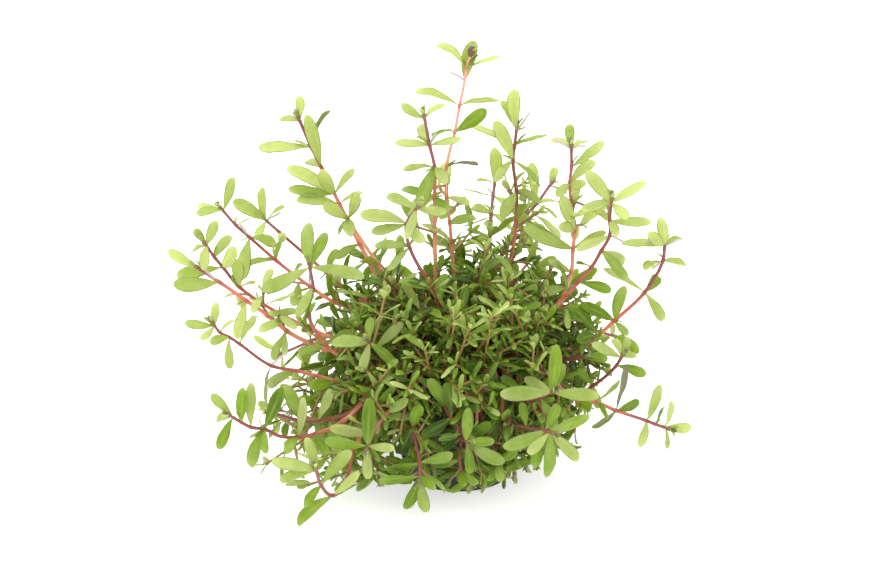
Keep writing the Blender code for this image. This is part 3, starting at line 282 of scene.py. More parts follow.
     ((0, 9.5, -3.5, -0.4, 0.7), (0, 13, -4, -0.6, 0.7), (0, 18, 6.5, -0.2, 0.8),
      (1, 3, 7, -0.5, 0.7), (2, 14, 22, 0.3, 0.7))),
    ("front_right", (12, -14), 7, (-38, -26),
     ((28, 23), (24.5, 21.5), (20.5, 20.5), (17, 22)),
     ((0, 29.5, 37.5, 0.1, 0.8), (0, 12.5, 22.5, -0.1, 0.8), (0, 42.5, 22, -0.1, 0.8),
      (0, 20, 27.5, 0.4, 0.8), (1, 32, 31.5, 0.5, 0.7), (1, 29, 11.5, -0.5, 0.7),
      (2, 13, 28, 0.3, 0.7))),
    ("front_right_low", (9, -17), 5, (-42, -32),
     ((27.5, 11), (26, 11.5), (20.5, 12.5), (14, 15)),
     ((0, 21, 4.5, -0.4, 0.8), (0, 26.5, -2.5, -0.3, 0.7), (0, 39.5, 16, 0.1, 0.8),
      (0, 36, 2.5, -0.2, 0.8), (1, 23, 0.5, 0.2, 0.6), (1, 13.5, 6.5, -0.2, 0.8),
      (1, 30, 19.5, 0.4, 0.7), (2, 19, 20, 0.3, 0.7))),
    ("left_front", (-13.5, -7.5), 16, (-26, -18),
     ((-26.5, 38), (-24.5, 36.5), (-19, 35.5)),
     ((0, -26, 45.5, 0.5, 0.9), (0, -38, 37.5, -0.1, 0.7), (0, -18.5, 30.5, -0.4, 0.8),
      (0, -29, 29, -0.6, 0.8), (1, -16.5, 44, 0.3, 0.7))),
    ("right_inner", (17.5, -6), 12, (-12, -9),
     ((37, 33.5), (34, 33), (28, 33)),
     ((0, 38, 42, 0.4, 0.7), (0, 45, 33, -0.2, 0.6), (0, 36, 24, -0.5, 0.7), (1, 28, 39, 0.4, 0.6),
      (2, 29, 23, -0.5, 0.7))),
    ("inner_left", (-13, -2), 12, (-4, -4), ((-19, 54), (-17, 46)), ()),
    ("inner_front_left", (-7, -6), 10, (-16, -12), ((-11, 47), (-11, 39)), ()),
    ("inner_front", (0, -11), 10, (-18, -14), ((1, 45), (1, 38)), ()),
    ("inner_middle", (3, -2), 12, (-6, -4), ((5, 56), (4, 48)), ()),
    ("inner_front_right", (8, -10), 10, (-16, -12), ((15, 47), (14, 39)), ()),
    ("inner_right", (7, -3), 12, (-4, -4), ((17, 56), (15, 48)), ()),
    ("behind_right", (15.5, 5), 14, (22, 12), ((33, 55), (27, 49)), ()),
    ("behind_middle_right", (8.5, 12.5), 16, (38, 24), ((22, 63), (16, 56)), ()),
    ("behind_middle", (0.5, 15), 16, (40, 27), ((1, 66), (1, 58)), ()),
    ("behind_middle_left", (-3.5, 14.5), 16, (38, 26), ((-18, 60), (-14, 54)), ()),
)]

# The shoots that hang over the pot's rim at the back, which the front view doesn't show: the
# compass range of their tips (90 degrees is straight back), where they leave the wool, and how
# far out and how high their tips reach.
BACK_SHOOTS = 9
BACK_TURN_FROM = 28.0
BACK_TURN_TO = 152.0
BACK_FOOT_RADIUS = 18.5
BACK_REACH = (42.0, 64.0)
BACK_HEIGHT = (22.0, 44.0)
BACK_RISE = 12.0

# The front view's directions and its eye.
VIEW_ACROSS = Vector((1, 0, 0))
VIEW_UP = Vector((0, math.sin(VIEW_TILT), math.cos(VIEW_TILT)))
VIEW_AHEAD = Vector((0, math.cos(VIEW_TILT), -math.sin(VIEW_TILT)))
EYE = VIEW_ACROSS * VIEW_AIM_ACROSS + VIEW_UP * VIEW_AIM_UP - VIEW_AHEAD * VIEW_DISTANCE
UP = Vector((0, 0, 1))


def level(turn):
    """The level direction at this turn of the compass."""
    return Vector((math.cos(turn), math.sin(turn), 0))


def outward_at(point):
    """The level direction from the pot's axis to a point."""
    return Vector((point.x, point.y, 0)).normalized()


def seen_at(across, up, back):
    """The point this far back that the front view shows at this place."""
    there = VIEW_ACROSS * across + VIEW_UP * up
    return EYE + (there - EYE) * ((back - EYE.y) / (there.y - EYE.y))


def pot_inner_radius(height):
    """The inner radius of the pot's wall at a height."""
    slope = (POT_TOP_RADIUS - POT_FOOT_RADIUS) / POT_HEIGHT
    return POT_FOOT_RADIUS + slope * height - POT_WALL


def wool_surface(x, y):
    """The height of the wool's domed top at a place."""
    edge = pot_inner_radius(WOOL_TOP) - GAP
    return WOOL_TOP + WOOL_CROWN * (1 - math.hypot(x, y) / edge)


def bezier(start, leave, arrive, end, share):
    """A point on the cubic curve with these four handles."""
    rest = 1 - share
    return (start * rest ** 3 + leave * 3 * rest ** 2 * share
            + arrive * 3 * rest * share ** 2 + end * share ** 3)


def evenly_along(curve, spacing):
    """Points about a spacing apart along a curve from 0 to 1, without its two ends."""
    points = [curve(step / CURVE_STEPS) for step in range(CURVE_STEPS + 1)]
    length = sum((b - a).length for a, b in zip(points, points[1:]))
    count = max(2, round(length / spacing))
    wanted = [length * number / count for number in range(1, count)]
    found = []
    walked = 0.0
    for a, b in zip(points, points[1:]):
        walked += (b - a).length
        while len(found) < len(wanted) and walked >= wanted[len(found)]:
            found.append(b)
    return found


class Station:
    """A point of a stem, with the leaves that grow there."""

    def __init__(self, point, leaves=(), paired=False):
        self.point = point
        self.leaves = list(leaves)
        self.paired = paired
        self.grown = []


def inner_route(foot, rise, low, onward):
    """The hidden stations of a stem, over the pot's rim if its lowest seen point is low."""
    if low.z > POT_HEIGHT + CREST_MARGIN:
        def curve(share):
            return bezier(foot, foot + UP * rise, low - onward * rise, low, share)
        return [Station(point, paired=True) for point in evenly_along(curve, LOW_NODE_SPACING)]
    away = outward_at(foot)
    crest = away * CREST_RADIUS + UP * (POT_HEIGHT + CREST_RISE)

    def upward(share):
        leave, arrive = (way * rise * CREST_HOLD for way in (UP, away))
        return bezier(foot, foot + leave, crest - arrive, crest, share)

    def downward(share):
        leave, arrive = (way * rise * CREST_HOLD for way in (away, onward))
        return bezier(crest, crest + leave, low - arrive, low, share)

    stations = [Station(point) for point in evenly_along(upward, CREST_STEP)]
    stations.append(Station(crest, paired=True))
    stations += [Station(point, paired=True) for point in evenly_along(downward, LOW_NODE_SPACING)]
    return stations


def without_straight_points(stations):
    """Leaves out the bare points of a stem where it runs on straight."""
    kept = stations[:1]
    for station, onward in zip(stations[1:], stations[2:]):
        start = kept[-1].point
        ahead = (onward.point - start).normalized()
        bend = (station.point - start).cross(ahead).length
        if station.leaves or station.paired or bend > STRAIGHT_WITHIN:
            kept.append(station)
    return kept + stations[-1:]


def foot_at(x, y):
    """The start of a stem just above the wool."""
    return Vector((x, y, wool_surface(x, y) + GAP))


def stations_of(shoot):
    """The stem of a shoot read from the front view, from the wool to the tip."""
    steps = [0.0]
    for a, b in zip(shoot.stem, shoot.stem[1:]):
        steps.append(steps[-1] + math.dist(a, b))
    back_tip, back_low = shoot.back
    seen = []
    for number, (across, up) in enumerate(shoot.stem):
        back = back_tip + (back_low - back_tip) * steps[number] / steps[-1]
        leaves = [leaf for leaf in shoot.leaves if leaf.point == number]
        seen.append(Station(seen_at(across, up, back), leaves, not shoot.leaves))
    seen.reverse()
    for station in seen[:2]:
        station.paired = not station.leaves
    foot = foot_at(*shoot.root)
    low = seen[0].point
    onward = (seen[1].point - low).normalized()
    return [Station(foot)] + inner_route(foot, shoot.rise, low, onward) + seen


def back_shoots():
    """The stems that lean out over the back of the pot, each with pairs of leaves."""
    for number in range(BACK_SHOOTS):
        share = number / (BACK_SHOOTS - 1)
        turn = math.radians(BACK_TURN_FROM + (BACK_TURN_TO - BACK_TURN_FROM) * share)
        swing = 0.5 + 0.5 * math.sin(number * GOLDEN_ANGLE * 2)
        away = level(turn)
        reach = BACK_REACH[0] + (BACK_REACH[1] - BACK_REACH[0]) * swing
        height = BACK_HEIGHT[1] + (BACK_HEIGHT[0] - BACK_HEIGHT[1]) * swing
        foot = foot_at(*(away * BACK_FOOT_RADIUS).xy)
        tip = away * reach + UP * height
        onward = (away * 3 - UP).normalized()
        stations = [Station(foot)] + inner_route(foot, BACK_RISE, tip, onward)
        yield f"back_{number + 1:02d}", stations + [Station(tip, paired=True)]


class Blade:
    """One leaf: where it grows, its tip and which way its upper face looks."""

    def __init__(self, base, tip, face, width):
        self.base = base
        self.tip = tip
        self.length = (tip - base).length
        self.ahead = (tip - base) / self.length
        self.face = (face - self.ahead * face.dot(self.ahead)).normalized()
        self.side = self.face.cross(self.ahead)
        self.width = width

    def middle(self, share):
        """A point of the midrib, which arches over from the base to the tip."""
        arch = LEAF_ARCH * self.length * 4 * share * (1 - share)
        return self.base.lerp(self.tip, share) + self.face * arch

    def middles(self, shares):
        """Points of the midrib."""
        return [self.middle(share) for share in shares]

    def corners(self, start, spare=CLEARANCE):
        """Three rings of corners around the leaf from this share of its length on."""
        corners = []
        for share, part in ((start, 0.5), (LEAF_WIDEST_AT, 1.0), (1.0, LEAF_TIP_WIDTH)):
            centre = self.middle(share)
            half = self.width * part / 2 + spare / 2
            above = self.face * spare / 2
            below = -self.face * (LEAF_THICKNESS + spare / 2)
            corners += [centre - self.side * half, centre + above, centre + self.side * half,
                        centre + below]
        return corners


def box_tree(corners):
    """A search tree of the closed tube through rings of four corners each."""
    last = len(corners) - 4
    faces = [(0, 1, 2, 3), tuple(last + k for k in range(4))]
    for low in range(0, last, 4):
        for k in range(4):
            faces.append((low + k, low + (k + 1) % 4, low + 4 + (k + 1) % 4, low + 4 + k))
    return BVHTree.FromPolygons(corners, faces)


def stem_corners(stations, half=STEM_RADIUS_FOOT + CLEARANCE):
    """Rings of corners around a stem, a little fatter than the stem is."""
    corners = []
    for station in stations:
        across = station.ahead.orthogonal().normalized()
        radius = half * math.sqrt(2)
        for k in range(4):
            turn = Matrix.Rotation(k * math.pi / 2, 3, station.ahead)
            corners.append(station.point + turn @ across * radius)
    return corners


class Room:
    """What is already in place, so that no leaf grows through it."""

    def __init__(self):
        self.placed = []

    def add(self, tree, centre, radius, grower):
        """Keeps a tree of faces, and whose it is: a shoot's name, and a leaf's station."""
        self.placed.append((tree, centre, radius, grower))

    def is_free(self, blade, owner):
        """Whether the leaf stays above the floor, off the pot and clear of all that is placed."""
        centre = blade.middle(0.5)
        for point in (centre, blade.tip):
            if point.z - LEAF_THICKNESS - blade.width / 2 * abs(blade.side.z) < FLOOR_CLEARANCE:
                return False
            reach = math.hypot(point.x, point.y) - blade.width / 2
            if point.z < POT_HEIGHT + OVER_POT and reach < POT_TOP_RADIUS + POT_RIM_WIDTH:
                return False
        beside, whole = (box_tree(blade.corners(start)) for start in (BESIDE_FROM, WHOLE_FROM))
        for other, middle, radius, grower in self.placed:
            if (middle - centre).length < radius + blade.length:
                if (beside if grower == owner[:len(grower)] else whole).overlap(other):
                    return False
        self.add(whole, centre, blade.length / 2, owner)
        return True


def seen_blades(station, leaf):
    """The ways to grow a leaf that the front view shows, the wanted one first."""
    flat = seen_at(leaf.across, leaf.up, station.point.y)
    seen = (flat - station.point).length
    sight = (flat - EYE).normalized()
    depth = math.sqrt(max(LEAF_LENGTH ** 2 - seen ** 2, (LEAST_DEPTH * LEAF_LENGTH) ** 2))
    for lean in (leaf.lean + nudge for nudge in NUDGES):
        if abs(lean) > MOST_LEAN:
            continue
        for turn in FACE_TURNS:
            share = min(max(leaf.face + turn, 0), 1)
            face = station.ahead * (1 - share) - sight * share
            yield Blade(station.point, flat + sight * lean * depth, face, LEAF_WIDTH)


def leaning(station, turn, spread):
    """The direction that leaves the stem at a station at this turn, this far off it."""
    out = Matrix.Rotation(turn, 3, station.ahead) @ station.across
    return station.ahead * math.cos(spread) + out * math.sin(spread)


def paired_blades(station, turn):
    """The ways to grow one leaf of a pair that spreads from the stem at a turn."""
    for tilt, nudge in itertools.product(PAIR_TILTS, PAIR_TURNS):
        ahead = leaning(station, turn + math.radians(nudge), math.radians(tilt))
        tip = station.point + ahead * LOW_LEAF_LENGTH
        yield Blade(station.point, tip, station.ahead, LEAF_WIDTH * PAIR_SLIM)


def grow_one(station, blades, room, owner):
    """Gives a station the first of these leaves that finds room."""
    grown = next((blade for blade in blades if room.is_free(blade, owner)), None)
    if grown:
        station.grown.append(grown)


def grow_seen_leaves(name, stations, room):
    """Gives each station the leaves that the front view shows there."""
    for number, station in enumerate(stations):
        for leaf in station.leaves:
            grow_one(station, seen_blades(station, leaf), room, (name, number))


def grow_pairs(name, stations, room, turn):
    """Gives the other stations opposite pairs, each pair a quarter turn on from the last."""
    for number, station in enumerate(stations):
        if station.paired:
            for half in (0, math.pi):
                grow_one(station, paired_blades(station, turn + half), room, (name, number))
            turn += math.pi / 2


def set_directions(stations):
    """Gives each station the stem's direction and one across it that doesn't twist."""
    points = [station.point for station in stations]
    steps = [(b - a).normalized() for a, b in zip(points, points[1:])]
    middle = [(a + b).normalized() for a, b in zip(steps, steps[1:])]
    across = UP.orthogonal().normalized()
    for station, ahead in zip(stations, [UP] + middle + steps[-1:]):
        across = (across - ahead * across.dot(ahead)).normalized()
        station.ahead = ahead
        station.across = across


def grow_clump():
    """All shoots as (name, stations), placed as the solids are."""
    routes = [(shoot.name, stations_of(shoot)) for shoot in SHOOTS]
    routes += back_shoots()
    shoots = [(name, without_straight_points(stations)) for name, stations in routes]
    room = Room()
    for name, stations in shoots:
        set_directions(stations)
        middle = (stations[0].point + stations[-1].point) / 2
        radius = max((station.point - middle).length for station in stations)
        room.add(box_tree(stem_corners(stations)), middle, radius, (name,))
    for name, stations in shoots:
        grow_seen_leaves(name, stations, room)
    for number, (name, stations) in enumerate(shoots):
        grow_pairs(name, stations, room, number * GOLDEN_ANGLE)
    return shoots


# Thin faded leaves that only the scene has: the stem point each grows from, its tip in the front
# view, and how far it leans back.
FADED = {name: [Leaf(*row) for row in rows] for name, rows in {
    "crown": ((2, -2.5, 119, 0.2),),
    "crown_left": ((1, -6.5, 101, -0.3),),
    "right_of_crown": ((0, 22, 107.5, 0.2), (0, 20.5, 102.5, -0.2)),
    "right_tall": ((0, 28.5, 99.5, 0.2), (0, 38.5, 97, 0.2)),
    "right_shoulder": ((2, 50, 68, 0.2),),
    "right_high": ((0, 67, 69, -0.4), (0, 56, 68.5, -0.4), (1, 58, 60, -0.3)),
    "left_high": ((2, -65.5, 73.5, 0.2),),
    "left_high_back": ((0, -53, 77, 0.2),),
    "far_left": ((2, -79, 63, 0.3),),
    "left_low": ((5, -51.5, 35, 0.3),),
}.items()}
FADED_WIDTH = 0.8
FADED_LEAN = 0.3
FADED_FACE = (0.6, 0.4)

# How far single leaves have turned brown, by their shoot, their stem point and the place of their
# tip across the front view.
FLUSHED = {("far_right_low", 4, 50): 0.85, ("far_right_low", 4, 40): 0.6, ("crown", 5, 6): 0.7,
           ("left_crown", 2, -38): 0.45, ("left_low", 5, -57.5): 0.35}

# The clump's heart, how far from it the leaves are dark and light, and how much a millimetre above
# and below it counts. This is painted shade and light: leaves deep in the clump are coloured darker
# for the light that the others keep from them, and those far out paler.
CLUMP_HEART = Vector((2, 2, 34))
DARK_WITHIN = 27.0
LIGHT_BEYOND = 58.0
ABOVE_HEART = 1.25
BELOW_HEART = 0.8

# A leaf's tint, from 0 deep green to 1 pale: what light, height and a near tip add, and its chance.
# The shares for light and height are painted light and shade: paler where more light falls, far out
# and high up. A side shoot's tip in painted shade keeps only a part of its paleness.
PAINTED_LIGHT_TINT = 0.48
PAINTED_HEIGHT_TINT = 0.16
HEIGHTS = (15, 95)
TIP_TINT = 0.22
TIP_FADE = 18.0
SHADED_TIP = 0.3
YOUNG_TINT = 0.8
SPROUT_YOUNG_TINT = 0.08
TINT_SPREAD = 0.17

# What each leaf draws by chance, in this order, and the fold of a young one.
LEAF_CHANCES = (("taper", 0.75, 1.2), ("growth", 0.88, 1.1), ("arch", -0.01, 0.09),
                ("curl", -0.25, 0.45), ("bow", -0.045, 0.045), ("fold", 0.0, 0.5),
                ("twist", -0.5, 0.5), ("phase", 0, 1))
YOUNG_FOLD = 0.35

# A leaf shorter than usual is slimmer too, by this power of its share of the length, which counts
# up to the most.
SLIM_POWER = 0.6
MOST_SHARE = 1.1

# Small leaves in the axils of the others: how many, their length, their lean to the stem, their
# width for their length, and their tint for their neighbour's.
AXIL_SHARE = 0.3
AXIL_LENGTH = (3.0, 5.5)
AXIL_LIFT = (0.6, 1.1)
AXIL_SLIM = 0.34
AXIL_TINT = 0.8

# Pairs of young leaves at a tip: length, width, degrees off the stem, and how brown they are. Their
# lengths vary, and they start above the last node, one pair over the other.
SPROUT_YOUNG_PAIRS = ((4.0, 1.6, 24.0, 0.05),)
YOUNG_PAIRS = ((3.5, 1.5, 26.0, 0.35), (2.2, 1.1, 10.0, 0.75))
YOUNG_LENGTHS = (0.85, 1.15)
YOUNG_START = 0.6
YOUNG_APART = 0.8

# The leaf behind the crown's bud: the stem point it grows from, its tip in the front view, how far
# it starts and ends behind the stem, and its width.
BUD_LEAF = (2, 5.0, 128.8, 1.2, 3.4, 4.6)

# The bushy parts of the clump, which side shoots fill: their middles and half their sizes, and
# the same in the front view (across, up). The share is how many side shoots grow there, or None in
# the middle, where it falls from below upwards. The power is how square their corners are.
Bush = namedtuple("Bush", "middle size view_middle view_size share")
BUSHES = (Bush(Vector((0, 0, 42)), (43, 47, 47), (-1.5, 42.0), (45, 50), None),
          Bush(Vector((-43, -10, 14)), (25, 30, 20), (-42, 10), (22, 18), 0.8),
          Bush(Vector((-52, 0, 50)), (18, 30, 15), (-51, 51), (14, 11), 0.5),
          Bush(Vector((12, 8, 76)), (24, 25, 16), (12, 75), (21, 14), 0.8),
          Bush(Vector((40, 0, 74)), (13, 28, 14), (40, 77), (11, 9), 0.9))
BUSH_POWER = 2.4

# A bush thins out at its edge, between these shares of its size: where it is low, and what its
# height adds. A place counts as crowded from the least crowd on.
EDGE_HEIGHTS = (34, 62)
EDGE_FROM = (0.98, -0.42)
EDGE_TO = (1.02, 0.16)
LEAST_CROWD = 0.04

# The clump's lower edge in the front view: its height at the middle, where it starts to rise
# towards the right, and its slopes to the right and to the left.
LOWER_EDGE = -7.0
LOWER_FROM = 6.0
LOWER_RISE = 0.55
LOWER_FALL = 0.05

# How the front view's upper part gets loose: between these heights, which fall to both sides of a
# middle, and by how much.
LOOSE_FROM_TO = (30.0, 78.0)
LOOSE_SLOPE = 0.4
LOOSE_MIDDLE = 10.0
LOOSENESS = 0.88

# Where the front view shows the pot between the leaves, and how far a small leaf keeps off it and
# off the leaves that are read from the front view.
POT_GLIMPSE = (-2.0, -3.6)
POT_GLIMPSE_RADIUS = 1.7
KEEP_CLEAR = 1.9

# Where along a leaf it is looked at: for what is shown, for what it hides, and for the pot and the
# floor. From LEAF_FROM on it may touch nothing. Space is sorted into cells of this size.
SHOWN_AT = (0.3, 0.55, 0.8, 1.0)
HIDES_AT = (0.2, 0.6, 1.0)
CLEAR_AT = (0.5, 1.0)
CELL = 5.0
LEAF_FROM = 0.12
LEAF_OFF_POT = 0.8

# The hanging shoots: how many of them, how many tries, the compass range they leave by, and how far
# out and how high their tips reach.
Skirt = namedtuple("Skirt", "shoots tries turn reach height")
SKIRTS = (Skirt(20, 1000, (-100.0, -50.0), (25.0, 31.0), (5.0, 12.0)),
          Skirt(48, 900, (0.0, 360.0), (23.0, 42.0), (4.0, 34.0)))
SKIRT_SEED = 77
SKIRT_FOOT = (6, 20)
SKIRT_SWERVE = 0.4
SKIRT_SLANT = (0.0, 1.2)
SKIRT_RISE = (8, 20)
SKIRT_CROWD = 0.5
SKIRT_OFF_POT = 0.5
SKIRT_HITS = 2
SKIRT_LEAST = 4
SKIRT_LEAF = (7.0, 11.5)
SKIRT_SPREAD = (0.6, 1.4)
SKIRT_NUDGES = (0, 0.3, -0.3, 0.6, -0.6, 0.9, -0.9)
SKIRT_FACE_UP = 0.6
SKIRT_RADIUS = 0.65

# The side shoots: how densely they stand on a stem, how much denser and smaller the leaves of those
# in the heart are, and how much of their way goes along the stem, outward, by chance and up. They
# turn outward and up between SPROUT_HEIGHTS. Each leaf has three tries at its angle.
SPROUT_SPACING = 2.5
HEART_FROM_TO = (24.0, 52.0)
HEART_SIZE = 0.62
LOOSE_GROWTH = 0.15
SPROUT_TRIES = 20
SPROUT_HEIGHTS = (30, 60)
SPROUT_WAY = (0.5, 0.7, 1.1, 0.25)
SPROUT_LENGTH = (6.0, 22.0)
SPROUT_SHORTER = 0.6
SPROUT_BEND = (-0.1, 0.25)
SPROUT_NODE_SPACING = 5.2
SPROUT_LEAF = (7.0, 11.0)
SPROUT_SPREADS = ((0.8, 1.3), (0.5, 1.6), (0.3, 2.0))
SPROUT_LEAF_SLIM = 0.36
SPROUT_FACE = (0.7, 0.5)
SPROUT_RADIUS = 0.42
SPROUT_TIP = 0.8
TIP_GROWTH = 1.6
TIP_OFF_POT = 2.0
LOWEST_TIP = 4

# The stems: how they are sampled, how they swell at a node, how deep they stand in the wool, and
# their radius at the foot and the tip.
STEM_STEP = 1.3
KNOT_LENGTH = 0.9
KNOT_SWELL = 0.28
ROOTED_BY = 2.5
STEM_FOOT = 0.72
STEM_TIP = 0.45
STOUTER = {"crown": 0.82, "far_left": 1.2, "left_crown": 1.1, "right_high": 1.1, "left_low": 0.9}
BLUSHES = {"crown": 2.4, "right_tall": 0.6, "left_crown": 0.0, "left_crown_low": 2.0,
           "left_high": -0.6, "far_left": 0.9, "left_low": -0.8, "left_of_crown": -2.0,
           "high_back_right": -1.4, "high_back": -1.0, "right_low": -0.8}

# A bud: its height over the stem's end and its radius there, its size, and how dark it is.
BUD = ((0.5, 0.55), (1.1, 0.9), (1.8, 1.05), (2.5, 0.8), (3.0, 0.3))
BUD_SIZE = {"crown": 1.15}
COMMON_BUD = 0.72
SPROUT_BUD = 0.58
BUD_DUSK = {"crown": 1.0}
COMMON_DUSK = (0.1, 0.5)


def smooth_share(value, low, high):
    """0 below low, 1 above high, and a smooth rise between them."""
    share = min(max((value - low) / (high - low), 0), 1)
    return share * share * (3 - 2 * share)


def painted_light_at(point):
    """How much of the sky a place in the clump sees, from 0 to 1, by its distance from the clump's
    heart, painted into the leaves' colour as shade and light.
    """
    away = point - CLUMP_HEART
    away.z *= ABOVE_HEART if away.z > 0 else BELOW_HEART
    return smooth_share(away.length, DARK_WITHIN, LIGHT_BEYOND)


def flush_of(name, station, number):
    """How far the leaf of this number has turned brown, of those that a station grows."""
    if number >= len(station.leaves):
        return 0.0
    wanted = station.leaves[number]
    return FLUSHED.get((name, wanted.point, wanted.across), 0.0)


def dress(blade, dice, tint, flush=0.0, young=False):
    """Gives a leaf its own small differences in shape and colour."""
    for key, low, high in LEAF_CHANCES:
        setattr(blade, key, YOUNG_FOLD if young and key == "fold" else dice.uniform(low, high))
    blade.width *= blade.growth
    blade.tint = min(max(tint + dice.gauss(0, TINT_SPREAD), 0), 1)
    blade.flush = flush
    return blade


def faded_blade(station, leaf):
    """A small thin leaf that ends at this place of the front view."""
    flat = seen_at(leaf.across, leaf.up, station.point.y)
    sight = (flat - EYE).normalized()
    depth = FADED_LEAN * (flat - station.point).length * leaf.lean
    face = -sight * FADED_FACE[0] + station.ahead * FADED_FACE[1]
    return Blade(station.point, flat + sight * depth, face, FADED_WIDTH)


def in_front_view(point):
    """Where the front view shows a point, and how far it is from the eye."""
    ray = point - EYE
    ahead = ray.dot(VIEW_AHEAD)
    across = VIEW_AIM_ACROSS + ray.dot(VIEW_ACROSS) * VIEW_DISTANCE / ahead
    up = VIEW_AIM_UP + ray.dot(VIEW_UP) * VIEW_DISTANCE / ahead
    return across, up, ray.length


class Shown:
    """What the front view shows of the shoots read from it, which no small leaf may cover."""

    def __init__(self, shoots):
        places = []
        for station in itertools.chain.from_iterable(stations for _, stations in shoots):
            if station.leaves:
                places.append(station.point)
            for blade in station.grown[:len(station.leaves)]:
                places += blade.middles(SHOWN_AT)
        self.depths = []
        self.tree = KDTree(len(places))
        for number, place in enumerate(places):
            across, up, depth = in_front_view(place)
            self.tree.insert((across, up, 0), number)
            self.depths.append(depth)
        self.tree.balance()

    def is_covered_by(self, points):
        """Whether something at these points hides any of it, or the glimpse of the pot."""
        for point in points:
            across, up, depth = in_front_view(point)
            if math.dist((across, up), POT_GLIMPSE) < POT_GLIMPSE_RADIUS:
                return True
            for _, number, _ in self.tree.find_range((across, up, 0), KEEP_CLEAR):
                if self.depths[number] > depth:
                    return True
        return False


def rounded_reach(*parts):
    """How far out a place is in a shape of half size 1 with rounded corners."""
    return sum(part ** BUSH_POWER for part in parts) ** (1 / BUSH_POWER)


def crowd_in(bush, point, view):
    """How far a place is inside one bushy part: 1 inside, and towards 0 at its loose upper edge."""
    away = point - bush.middle
    round_it = math.hypot(away.x / bush.size[0], away.y / bush.size[1])
    inside = rounded_reach(round_it, abs(away.z) / bush.size[2])
    flat = rounded_reach(*(abs(view[k] - bush.view_middle[k]) / bush.view_size[k] for k in (0, 1)))
    high = smooth_share(point.z, *EDGE_HEIGHTS)
    low_edge, high_edge = (edge + more * high for edge, more in (EDGE_FROM, EDGE_TO))
    return 1 - smooth_share(max(inside, flat), low_edge, high_edge)


def crowd_at(point):
    """How far a place is inside the bushy parts of the clump."""
    view = in_front_view(point)
    across, up, _ = view
    slope = LOWER_RISE * max(across - LOWER_FROM, 0) if across > 0 else LOWER_FALL * across
    if up < LOWER_EDGE + slope and point.y < 0:
        return 0.0
    return max(crowd_in(bush, point, view) for bush in BUSHES)


def looseness_at(point):
    """How loose the clump is at a place: 0 low down, 1 in the front view's upper part."""
    across, up, _ = in_front_view(point)
    return smooth_share(up + LOOSE_SLOPE * abs(across - LOOSE_MIDDLE), *LOOSE_FROM_TO)


def growth_at(point):
    """How likely a side shoot grows at a place."""
    view = in_front_view(point)
    return max(crowd_in(bush, point, view) * (bush.share or 1 - LOOSENESS * looseness_at(point))
               for bush in BUSHES)


class Solid:
    """A closed shape through rings of four corners, and whose it is."""

    def __init__(self, corners, grower):
        self.tree = box_tree(corners)
        self.low = [min(corner[k] for corner in corners) for k in range(3)]
        self.high = [max(corner[k] for corner in corners) for k in range(3)]
        self.grower = grower

    def cells(self):
        """The cells of space that its box reaches into."""
        return itertools.product(*(range(math.floor(low / CELL), math.floor(high / CELL) + 1)
                                   for low, high in zip(self.low, self.high)))

    def cuts(self, other):
        """Whether the two shapes' faces meet."""
        for k in range(3):
            if self.low[k] > other.high[k] or other.low[k] > self.high[k]:
                return False
        return bool(self.tree.overlap(other.tree))


class Thicket:
    """All that has grown so far, by cells of space, so that small leaves find room between it."""

    def __init__(self, shoots):
        self.cells = {}
        self.log = []
        for name, stations in shoots:
            self.add_stem(stations, STEM_FOOT, (name,))
            for number, station in enumerate(stations):
                for blade in station.grown:
                    self.add(Solid(blade.corners(LEAF_FROM, 0.0), (name, number)))

    def add(self, solid):
        """Keeps a shape."""
        for cell in solid.cells():
            self.cells.setdefault(cell, []).append(solid)
            self.log.append(cell)

    def forget(self, mark):
        """Forgets what was kept since the log had this length."""
        while len(self.log) > mark:
            self.cells[self.log.pop()].pop()

    def add_stem(self, stations, radius, grower):
        """Keeps the stretches of a stem."""
        for solid in stem_stretches(stations, radius, grower):
            self.add(solid)

    def hits(self, solid, most=0):
        """Whether the shape cuts more than this many others' leaves and stems."""
        looked = set()
        found = set()
        for cell in solid.cells():
            for other in self.cells.get(cell, ()):
                if id(other) in looked:
                    continue
                looked.add(id(other))
                if other.grower != solid.grower[:len(other.grower)] and solid.cuts(other):
                    found.add(other.grower)
                    if len(found) > most:
                        return True
        return False

    def takes(self, blade, owner, shown):
        """Keeps a small leaf if it stays in the clump, and touches and hides nothing."""
        if crowd_at(blade.tip) < LEAST_CROWD or shown.is_covered_by(blade.middles(HIDES_AT)):
            return False
        for point in blade.middles(CLEAR_AT):
            if point.z < FLOOR_CLEARANCE + blade.width / 2 or is_at_pot(point, LEAF_OFF_POT):
                return False
        solid = Solid(blade.corners(LEAF_FROM, 0.0), owner)
        if self.hits(solid):
            return False
        self.add(solid)
        return True


def stem_stretches(stations, radius, grower):
    """The shape of each stretch of a stem."""
    for pair in zip(stations, stations[1:]):
        yield Solid(stem_corners(pair, radius), grower)


def is_at_pot(point, spare):
    """Whether a place is in the pot, or nearer to it than this."""
    wall = POT_FOOT_RADIUS + (POT_TOP_RADIUS - POT_FOOT_RADIUS) * point.z / POT_HEIGHT
    if point.z > POT_HEIGHT - POT_RIM_HEIGHT - spare:
        wall = POT_TOP_RADIUS + POT_RIM_WIDTH
    return point.z < POT_HEIGHT + spare and math.hypot(point.x, point.y) < wall + spare


def between(a, b, share):
    """A point on the smooth curve between two stations."""
    step = (b.point - a.point).length / 3
    return bezier(a.point, a.point + a.ahead * step, b.point - b.ahead * step, b.point, share)


def with_more_pairs(stations):
    """Adds a pair of leaves halfway between those of a hanging shoot."""
    more = stations[:1]
    for a, b in zip(stations, stations[1:]):
        if a.paired and b.paired:
            more.append(Station(between(a, b, 0.5), paired=True))
        more.append(b)
    set_directions(more)
    return more


